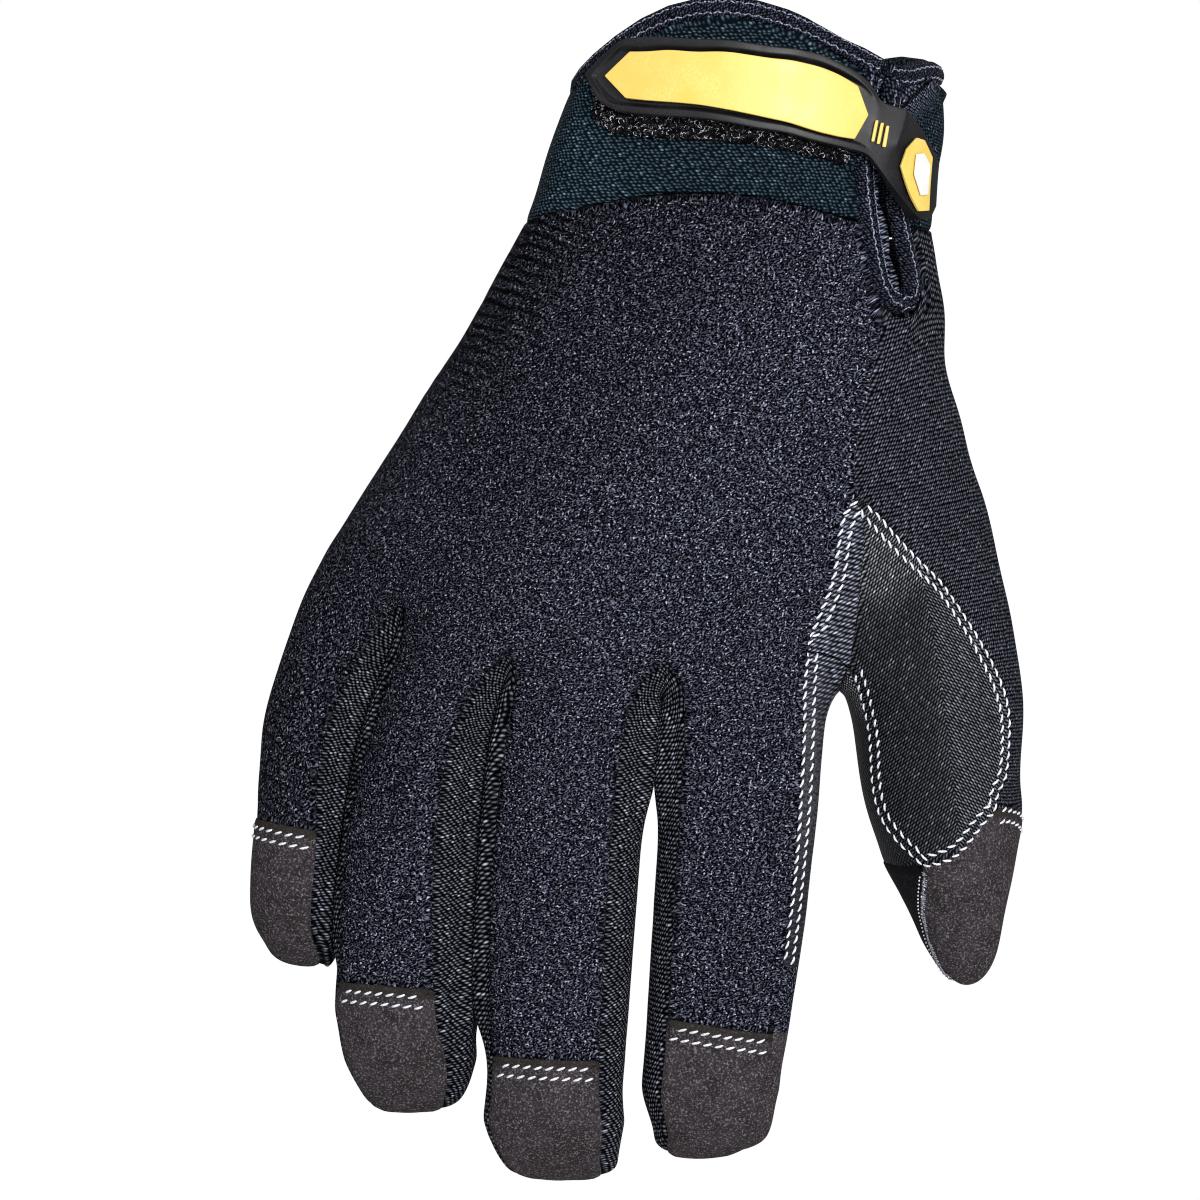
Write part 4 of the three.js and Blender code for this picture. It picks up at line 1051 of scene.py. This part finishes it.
def make_neoprene():
    """Jersey-faced neoprene: a smooth teal-black surface with fine dotted rows that catch the light, paler
    where it stretches at the little-finger side. On the tab it is rolled over, with ribs like the tape's and
    a near-black line of painted shade along its fold."""
    material = new_material("jersey_faced_neoprene", 0.8, 0.03)
    place = cloth_place(material, 0.6 * MM)
    height, chance = flecks(place, 0.95 * MM, 0.72 * MM, 0.0, 0.45, 0.4)
    jersey = yarn_colour_and_highlight(height, chance, "#030a10", "#637b8a", 0.8, 2.5)
    spot = add_node(material, "TexCoord").outputs["Object"]
    x, y, z = add_node(spot, "SeparateXYZ", (), {0: spot}).outputs
    paler = rescale(x, *STRETCHED, 1.4, 1.0)
    jersey = add_node(material, "VectorMath", {"operation": "SCALE"}, {0: jersey, "Scale": paler}).outputs[0]
    beside = reckon("MULTIPLY", rescale(x, 28 * MM, 31 * MM), rescale(y, -5 * MM, -1 * MM, 1.0, 0.0))
    down = reckon("SUBTRACT", x, z)
    rolled = reckon("MULTIPLY", rescale(down, *ROLL_EDGE, 1.0, 0.0), beside)
    ribs, rib_chance = flecks(place, 0.85 * MM, 0.6 * MM, math.radians(45), 0.5, 0.4)
    taped = yarn_colour_and_highlight(ribs, rib_chance, "#020308", "#8f97ae", 0.85, 2.0)
    fold = reckon("ABSOLUTE", reckon("SUBTRACT", down, ROLL_FOLD))
    # Painted shade: a near-black line along the tab's fold.
    taped = blend_colours(rescale(fold, 0.2 * MM, 1.1 * MM, 0.9, 0.0), taped, "#010103")
    colour = blend_colours(rolled, jersey, taped)
    return finished(material, painted_seam_shade(colour, 1.0 * MM, 0.6), height, 0.12 * MM, 0.5)


CUFF_MIDDLE = Vector((-3 * MM, -1 * MM, 0))
CUFF_HALF_WIDTH = 43 * MM
CUFF_HALF_DEPTH = 25 * MM
SLIT_ANGLE = math.radians(-51)


def wrap_round(piece):
    """Lays a pattern round the cuff as round an oval tube, from its slit on, in metres."""
    steps = 720
    turn = 2 * math.pi / steps
    lengths = [0.0]
    for step in range(steps):
        angle = SLIT_ANGLE + turn * (step + 0.5)
        step_length = math.hypot(CUFF_HALF_WIDTH * math.sin(angle), CUFF_HALF_DEPTH * math.cos(angle))
        lengths.append(lengths[-1] + turn * step_length)
    places = piece.data.uv_layers["cloth"].data
    for loop in piece.data.loops:
        spot = piece.data.vertices[loop.vertex_index].co - CUFF_MIDDLE
        angle = math.atan2(spot.y / CUFF_HALF_DEPTH, spot.x / CUFF_HALF_WIDTH)
        share, step = math.modf((angle - SLIT_ANGLE) % (2 * math.pi) / turn)
        before = lengths[int(step)]
        places[loop.index].uv = (before + share * (lengths[min(int(step) + 1, steps)] - before), spot.z)


TUCK_REACH = 2 * MM


def tuck_under(piece, tape_name):
    """Draws the edge of a panel in under the tape that binds it."""
    mesh = piece.data
    for vert in mesh.vertices:
        spot, outward, _, apart = cad_surfaces[tape_name].find_nearest(vert.co, TUCK_REACH)
        if spot is not None and (vert.co - spot).dot(outward) > 0:
            share = 1 - (apart / TUCK_REACH) ** 2
            vert.co -= outward * (apart + TAPE_COVER) * share
    mesh.update()


cuff = make_panel("neoprene_cuff", "cuff", 2)
wrap_round(cuff)
sew_in(cuff, "cuff", "neoprene", make_neoprene(), swell=(16, 0.3))
for tape_name in ("cuff_binding", "slit_binding"):
    tuck_under(cuff, tape_name)


# Slit gusset
# A strip of ribbed elastic closes the slit in the cuff and lets it open. Slack, it gathers in folds
# that run down the slit.
def make_ribbed_elastic():
    """Ribbed elastic: fine raised cords of covered rubber, dark, running down the slit, with a painted bluish
    highlight on their crowns.
    """
    material = new_material("ribbed_elastic", 0.7, 0.04)
    spot = add_node(material, "TexCoord").outputs["Object"]
    x, y, z = add_node(spot, "SeparateXYZ", (), {0: spot}).outputs
    across = reckon("SUBTRACT", x, reckon("MULTIPLY", y, 0.6))
    place = add_node(spot, "CombineXYZ", (), {0: across, 1: z}).outputs[0]
    height, chance = flecks(place, 1.9 * MM, 0.6 * MM, math.radians(35), 0.3, 0.3)
    colour = yarn_colour_and_highlight(height, chance, "#020205", "#c8d0f2", 0.9, 2.1)
    return finished(material, colour, height, 0.3 * MM, 0.9)


def gusset_folds(place, edge):
    across = place.x + 0.55 * place.y
    return 0.5 * MM * math.sin(across / (0.75 * MM)) * min(1.0, edge / (1.5 * MM))


gusset = make_panel("ribbed_gusset", "slit_gusset", 3, 0.5 * MM)
sew_in(gusset, "slit_gusset", "ribbed_elastic", make_ribbed_elastic(), lift=gusset_folds)


# Edge bindings
# A ribbed stretch tape is folded over the edge of the cuff and round both sides of the slit. Each is held by
# two rows of twisted chain stitching near its edges.
TAPE_RIB = 0.62 * MM
TAPE_DEPTH = 2.15 * MM
TAPE_WIDTH = 2.45 * MM
TAPE_ROW = 0.6


def make_tape():
    """Ribbed stretch tape: dark, with fine ribs across it flecked pale on their crowns, partly by the pale
    elastic threads in it and partly by a painted highlight.
    """
    material = new_material("ribbed_stretch_tape", 0.7, 0.04)
    along, around = [add_node(material, "Attribute", {"attribute_name": name}).outputs["Fac"]
                     for name in ("along", "around")]
    across = reckon("MULTIPLY", around, TAPE_WIDTH)
    place = add_node(along, "CombineXYZ", (), {0: across, 1: along}).outputs[0]
    height, chance = flecks(place, 0.85 * MM, TAPE_RIB, 0.0, 0.6, 0.4)
    colour = yarn_colour_and_highlight(height, chance, "#020308", "#828aa2", 0.6, 2.0)
    return finished(material, colour, height, 0.3 * MM, 0.8)


def tape_radius(angle):
    """How far the folded tape's surface is from its middle line at an angle: a flattened round, with a
    groove where each row of stitching pulls it in."""
    out, side = abs(math.cos(angle)) / TAPE_DEPTH, abs(math.sin(angle)) / TAPE_WIDTH
    groove = math.exp(-((abs(angle) - TAPE_ROW) / 0.16) ** 2)
    return (out ** 2.6 + side ** 2.6) ** (-1 / 2.6) - 0.25 * MM * groove


def tube_centres(shape):
    """The centres of a closed tube's rings, from one flat end to the other."""
    runs = [{vert for face in run for vert in face.verts} for run in smooth_runs(shape, math.radians(20))]
    rings = [next(verts for verts in runs if len(verts) == 6)]
    seen = set(rings[0])
    while rings[-1]:
        following = {edge.other_vert(vert) for vert in rings[-1] for edge in vert.link_edges} - seen
        seen |= following
        rings.append(following)
    return [sum((vert.co for vert in sorted(ring, key=lambda vert: vert.index)), Vector()) / len(ring)
            for ring in rings if ring]


def tape_frame(point, tangent):
    """Outward and sideward directions of a binding at a point of its middle line."""
    outward = (point - CUFF_MIDDLE) * Vector((1, 1, 0))
    outward = (outward - outward.project(tangent)).normalized()
    return outward, tangent.cross(outward)


# The middle line of a binding is measured in steps, and its ends are drawn out over that many.
LINE_STEP = 0.4 * MM
END_STEPS = 12
CORE_RADIUS = 1.5 * MM


def bind(name, node_name, longer):
    """A binding from its solid, filled out to the folded tape's shape and made longer at its two ends, with
    the distance along it and the angle round it stored on each vertex."""
    shape = quad_copy(frame["nodes"][node_name])
    shape.verts.index_update()
    centres = tube_centres(shape)
    piece = rounded(name, shape, 3)
    line = along_path(eased(centres, 1), LINE_STEP)
    tree = point_tree([point for point, _ in line])
    along = []
    around = []
    for vert in piece.data.vertices:
        point, i, _ = tree.find(vert.co)
        tangent = line[i][1]
        outward, sideward = tape_frame(point, tangent)
        offset = vert.co - point
        ahead = offset.dot(tangent)
        side, out = offset.dot(sideward), offset.dot(outward)
        angle = math.atan2(side, out)
        along.append(i * LINE_STEP + ahead)
        around.append(angle)
        full = tape_radius(angle) * min(1.0, math.hypot(side, out) / CORE_RADIUS)
        end = -1 if i < END_STEPS else 1 if i > len(line) - 1 - END_STEPS else 0
        nearness = 1 - min(i, len(line) - 1 - i) / END_STEPS if end else 0.0
        vert.co = point + tangent * (ahead + end * nearness * longer)
        vert.co += (outward * math.cos(angle) + sideward * math.sin(angle)) * full
    piece.data.update()
    for attribute, values in (("along", along), ("around", around)):
        piece.data.attributes.new(attribute, "FLOAT", "POINT").data.foreach_set("value", values)
    return piece, line


CHAIN_PITCH = 1.15 * MM
CHAIN_SLANT = math.radians(24)
tape = make_tape()
chain_places = []
for part, longer in (("cuff", 0.0), ("slit", 2.6 * MM)):
    binding, line = bind(f"{part}_binding_tape", f"{part}_binding", longer)
    install(binding, f"{part}_binding", "binding_tape", tape)
    points = [point for point, _ in line]
    for angle in (-TAPE_ROW, TAPE_ROW):
        for number, (point, tangent) in enumerate(along_path(points, CHAIN_PITCH, 0.6 * MM)):
            outward, sideward = tape_frame(point, tangent)
            normal = outward * math.cos(angle) + sideward * math.sin(angle)
            spot = point + normal * (tape_radius(angle) + 0.02 * MM)
            chain_places.append(stitch_at(spot, normal, tangent, CHAIN_SLANT if number % 2 else -CHAIN_SLANT))
add_sewing(join_copies("binding_stitches", make_stitch(1.6 * MM, 0.38 * MM, 5), chain_places),
           make_thread("chain_stitch_thread", "#1b1d27", "#a4a9c2"))


# Loop patch
# The hook-and-loop patch under the strap is a nylon backing with a thick field of tiny curled loops.
LOOP_COUNT = 2100
LOOP_RADIUS = 0.45 * MM
LOOP_THREAD = 0.24 * MM


def make_backing():
    """Loop-fastener backing: a flat black knit, dark between the loops that stand on it."""
    material = new_material("loop_backing_knit", 0.9, 0.03)
    place = add_node(material, "TexCoord").outputs["Object"]
    knots = add_node(material, "TexVoronoi", (), {"Vector": place, "Scale": 1 / (0.8 * MM)}).outputs[0]
    colour = blend_colours(rescale(knots, 0.1, 0.7), "#1d1d21", "#040405")
    return finished(material, colour, knots, 0.2 * MM, 0.5)


def make_loop_nylon():
    """Loop pile: fine black nylon loops whose crowns shine as small pale points."""
    material = new_material("nylon_loop_pile", 0.45, 0.2, 0.02)
    tufts = mottle(material, 0.8 * MM, 3.0, 0.7)
    colour = blend_colours(rescale(tufts, 0.49, 0.6), "#020203", "#e6e6ee")
    return finished(material, colour, tufts, 0.3 * MM, 0.8)


def make_loop(radius, thread_radius):
    """One curled loop: most of a turn of thin thread, standing on its two ends."""
    shape = bmesh.new()
    bmesh.ops.create_circle(shape, segments=4, radius=thread_radius,
                            matrix=Matrix.Translation((radius, 0, 0)) @ Matrix.Rotation(math.pi / 2, 4, "X"))
    rim = shape.verts[:] + shape.edges[:]
    bmesh.ops.spin(shape, geom=rim, cent=(0, 0, 0), axis=(0, -1, 0), dvec=(0, 0.03 * MM, 0),
                   angle=math.radians(215), steps=5)
    bmesh.ops.rotate(shape, verts=shape.verts, matrix=Matrix.Rotation(math.radians(17), 3, "Y"))
    mesh = bpy.data.meshes.new("loop")
    shape.to_mesh(mesh)
    shape.free()
    return mesh


# The strap and the patch under it are drawn to the photograph's places in the same way as the outline.
STRAP_FIT = [
    (-42.9, 1.5, 2.9, -2.6), (-35.5, 11.2, 3.2, -5), (-33, -7.8, -1.6, 0), (-37.7, 1.5, 0.4, -3.2),
    (-32, 8.2, 0, -3.4), (-31, -5, -1, -1.4), (-20, 6.5, 0, -1.4), (-20, -5, 0, -1), (-26, 11.5, 0, -2.2),
    (-17, 10.7, 0, 0.6), (-5, 8.4, 0, 0.6), (-5, 3.6, 0, -0.5), (-5, -7.8, 0, -1), (7, 0, 0.7, 0.4),
    (7, -11, 0.7, -0.4), (11.9, 1, 1, 1.1), (16.9, -3.5, 2.4, 1.1), (19.1, -8.4, 4.2, -2.4),
    (16.9, -15.1, 2.4, 0), (22.5, -11, 3.6, 1), (20.5, -14, 2.8, 1.1), (25, -14, 3.6, 0.9),
    (22.5, -18, 2.4, 1), (24, -6, 2.4, 1.4), (22, -20, 1.2, 1.3), (33, -15.6, 0.2, 1.2),
    (33.9, -30.7, 0, -0.6), (30, -23, 0, 0), (36, -22, 0, 0),
]
STRAP_REACH = 5.0
SHARP_EDGE = math.radians(30)


def wrist_depth(x):
    """How far in front of the middle the wrist's oval stands at that x, in millimetres."""
    return -25 * math.sqrt(max(0.12, 1 - ((x + 3) / 47) ** 2))


def strap_fitted(point):
    """A point of the strap's solids moved along the oval of the wrist."""
    x, y, z = fitted(point) / MM
    total = across = up = 0.0
    for at_x, at_z, move_x, move_z in STRAP_FIT:
        weight = math.exp(-((x - at_x) ** 2 + (z - at_z) ** 2) / STRAP_REACH ** 2) + 1e-9
        total += weight
        across += weight * move_x
        up += weight * move_z
    moved = x + across / total
    return Vector((moved, y + wrist_depth(moved) - wrist_depth(x), z + up / total)) * MM


def moulded(name, node_name, soften):
    """A moulded or cut piece from its solid, with its sharp edges rounded."""
    shape = quad_copy(frame["nodes"][node_name], strap_fitted)
    edges = [edge for edge in shape.edges if edge.calc_face_angle(0) > SHARP_EDGE]
    bmesh.ops.bevel(shape, geom=edges, offset=soften, offset_type="OFFSET", segments=2, profile=0.5,
                    affect="EDGES", material=-1, clamp_overlap=True)
    return rounded(name, shape, 2)


def faces_out(polygon):
    """Whether a face of the patch looks away from the cuff's middle."""
    away = (polygon.center - CUFF_MIDDLE) * Vector((1, 1, 0))
    return polygon.normal.dot(away) > 0.5 * away.length


backing = moulded("loop_backing", "loop_patch", 0.3 * MM)
install(backing, "loop_patch", "loop_fabric", make_backing())
draw = random.Random(11)
outward_faces = [polygon for polygon in backing.data.polygons if faces_out(polygon)]
chosen = draw.choices(outward_faces, [polygon.area for polygon in outward_faces], k=LOOP_COUNT)
loop_places = []
for polygon in chosen:
    a, b, c, d = [backing.data.vertices[i].co for i in polygon.vertices]
    spot = a.lerp(b, draw.random()).lerp(d.lerp(c, draw.random()), draw.random())
    lean = Matrix.Rotation(draw.uniform(-0.7, 0.7), 4, "X") @ Matrix.Scale(draw.uniform(0.7, 1.25), 4)
    stand = polygon.normal.to_track_quat("Z", "Y").to_matrix().to_4x4()
    turn = Matrix.Rotation(draw.uniform(0, 2 * math.pi), 4, "Z")
    loop_places.append(Matrix.Translation(spot) @ stand @ turn @ lean)
pile = join_copies("loop_pile", make_loop(LOOP_RADIUS, LOOP_THREAD / 2), loop_places)
add_sewing(pile, make_loop_nylon())


# Closure strap
# The wrist strap is one moulding of black thermoplastic rubber with a raised rim, and a yellow plate, three
# yellow bars and a six-sided badge moulded into it.
def make_rubber(name, base, worn, specular=0.45):
    """Thermoplastic rubber: satin from the mould, with a fine matt grain and slightly worn high spots."""
    material = new_material(name, 0.42, specular)
    grain = mottle(material, 0.5 * MM, 4.0, 0.65)
    clouds = mottle(material, 7 * MM, 3.0)
    gloss = rescale(clouds, 0.3, 0.7, 0.35, 0.5)
    material.node_tree.links.new(gloss, material.node_tree.nodes["Principled BSDF"].inputs["Roughness"])
    share = reckon("MULTIPLY", rescale(clouds, 0.35, 0.7), rescale(grain, 0.35, 0.7))
    return finished(material, blend_colours(share, base, worn), grain, 0.05 * MM, 0.5)


rubbers = {
    "black_rubber": make_rubber("moulded_black_rubber", "#0e0d10", "#201f23", 0.25),
    "yellow_rubber": make_rubber("moulded_yellow_rubber", "#dbbc58", "#e6cc74"),
    "pale_rubber": make_rubber("moulded_pale_rubber", "#dadad6", "#f2f2f0"),
}
for piece_name, node, soften, slot in (
    ("rubber_strap", "closure_strap", 0.3 * MM, "black_rubber"),
    ("yellow_plate", "strap_plate", 0.25 * MM, "yellow_rubber"),
    ("yellow_bar_1", "strap_bar_1", 0.25 * MM, "yellow_rubber"),
    ("yellow_bar_2", "strap_bar_2", 0.25 * MM, "yellow_rubber"),
    ("yellow_bar_3", "strap_bar_3", 0.25 * MM, "yellow_rubber"),
    ("yellow_badge", "strap_badge", 0.2 * MM, "yellow_rubber"),
    ("pale_badge_face", "strap_badge_face", 0.15 * MM, "pale_rubber"),
):
    install(moulded(piece_name, node, soften), node, slot, rubbers[slot])


# Studio
# A plain pale floor below the held glove, a white surround, and two soft lights from the front.
FLOOR_LEVEL = -0.42
disc = bmesh.new()
bmesh.ops.create_circle(disc, cap_ends=True, segments=64, radius=0.6,
                        matrix=Matrix.Translation((0, 0, FLOOR_LEVEL)))
floor = rounded("floor", disc, 0)
floor_paint = new_material("matt_floor_paint", 0.9)
floor_paint.node_tree.nodes["Principled BSDF"].inputs["Base Color"].default_value = linear("#e6e6e4")
floor.data.materials.append(floor_paint)

camera_data = bpy.data.cameras.new("camera")
camera_data.lens = 120
camera_data.sensor_width = camera_data.sensor_height = 36
camera = bpy.data.objects.new("camera", camera_data)
camera.location = (-0.03795, -0.92, -0.11845)
camera.rotation_euler = (math.pi / 2, 0, 0)
bpy.context.scene.collection.objects.link(camera)
bpy.context.scene.camera = camera

SURROUND_LIGHT = 0.45
world = bpy.data.worlds.new("white_surround")
world.use_nodes = True
bpy.context.scene.world = world
seen_directly = add_node(world, "LightPath").outputs["Is Camera Ray"]
brightness = add_node(world, "MapRange", (), {"Value": seen_directly, "To Min": SURROUND_LIGHT})
surround = world.node_tree.nodes["Background"]
surround.inputs["Color"].default_value = (1, 1, 1, 1)
world.node_tree.links.new(brightness.outputs["Result"], surround.inputs["Strength"])

GLOVE_MIDDLE = Vector((-0.035, 0, -0.12))
LIGHTS = [
    {"name": "key_light", "place": (0.22, -0.72, 0.02), "size": 0.3, "power": 5.8},
    {"name": "fill_light", "place": (-0.5, -0.9, 0.5), "size": 0.6, "power": 2.5},
]
for light in LIGHTS:
    lamp_data = bpy.data.lights.new(light["name"], "AREA")
    lamp_data.size = light["size"]
    lamp_data.energy = light["power"]
    lamp = bpy.data.objects.new(light["name"], lamp_data)
    lamp.location = light["place"]
    lamp.rotation_euler = (GLOVE_MIDDLE - lamp.location).to_track_quat("-Z", "Y").to_euler()
    bpy.context.scene.collection.objects.link(lamp)
bpy.context.scene.view_settings.view_transform = "Standard"
bpy.context.scene.cycles.filter_width = 1.1
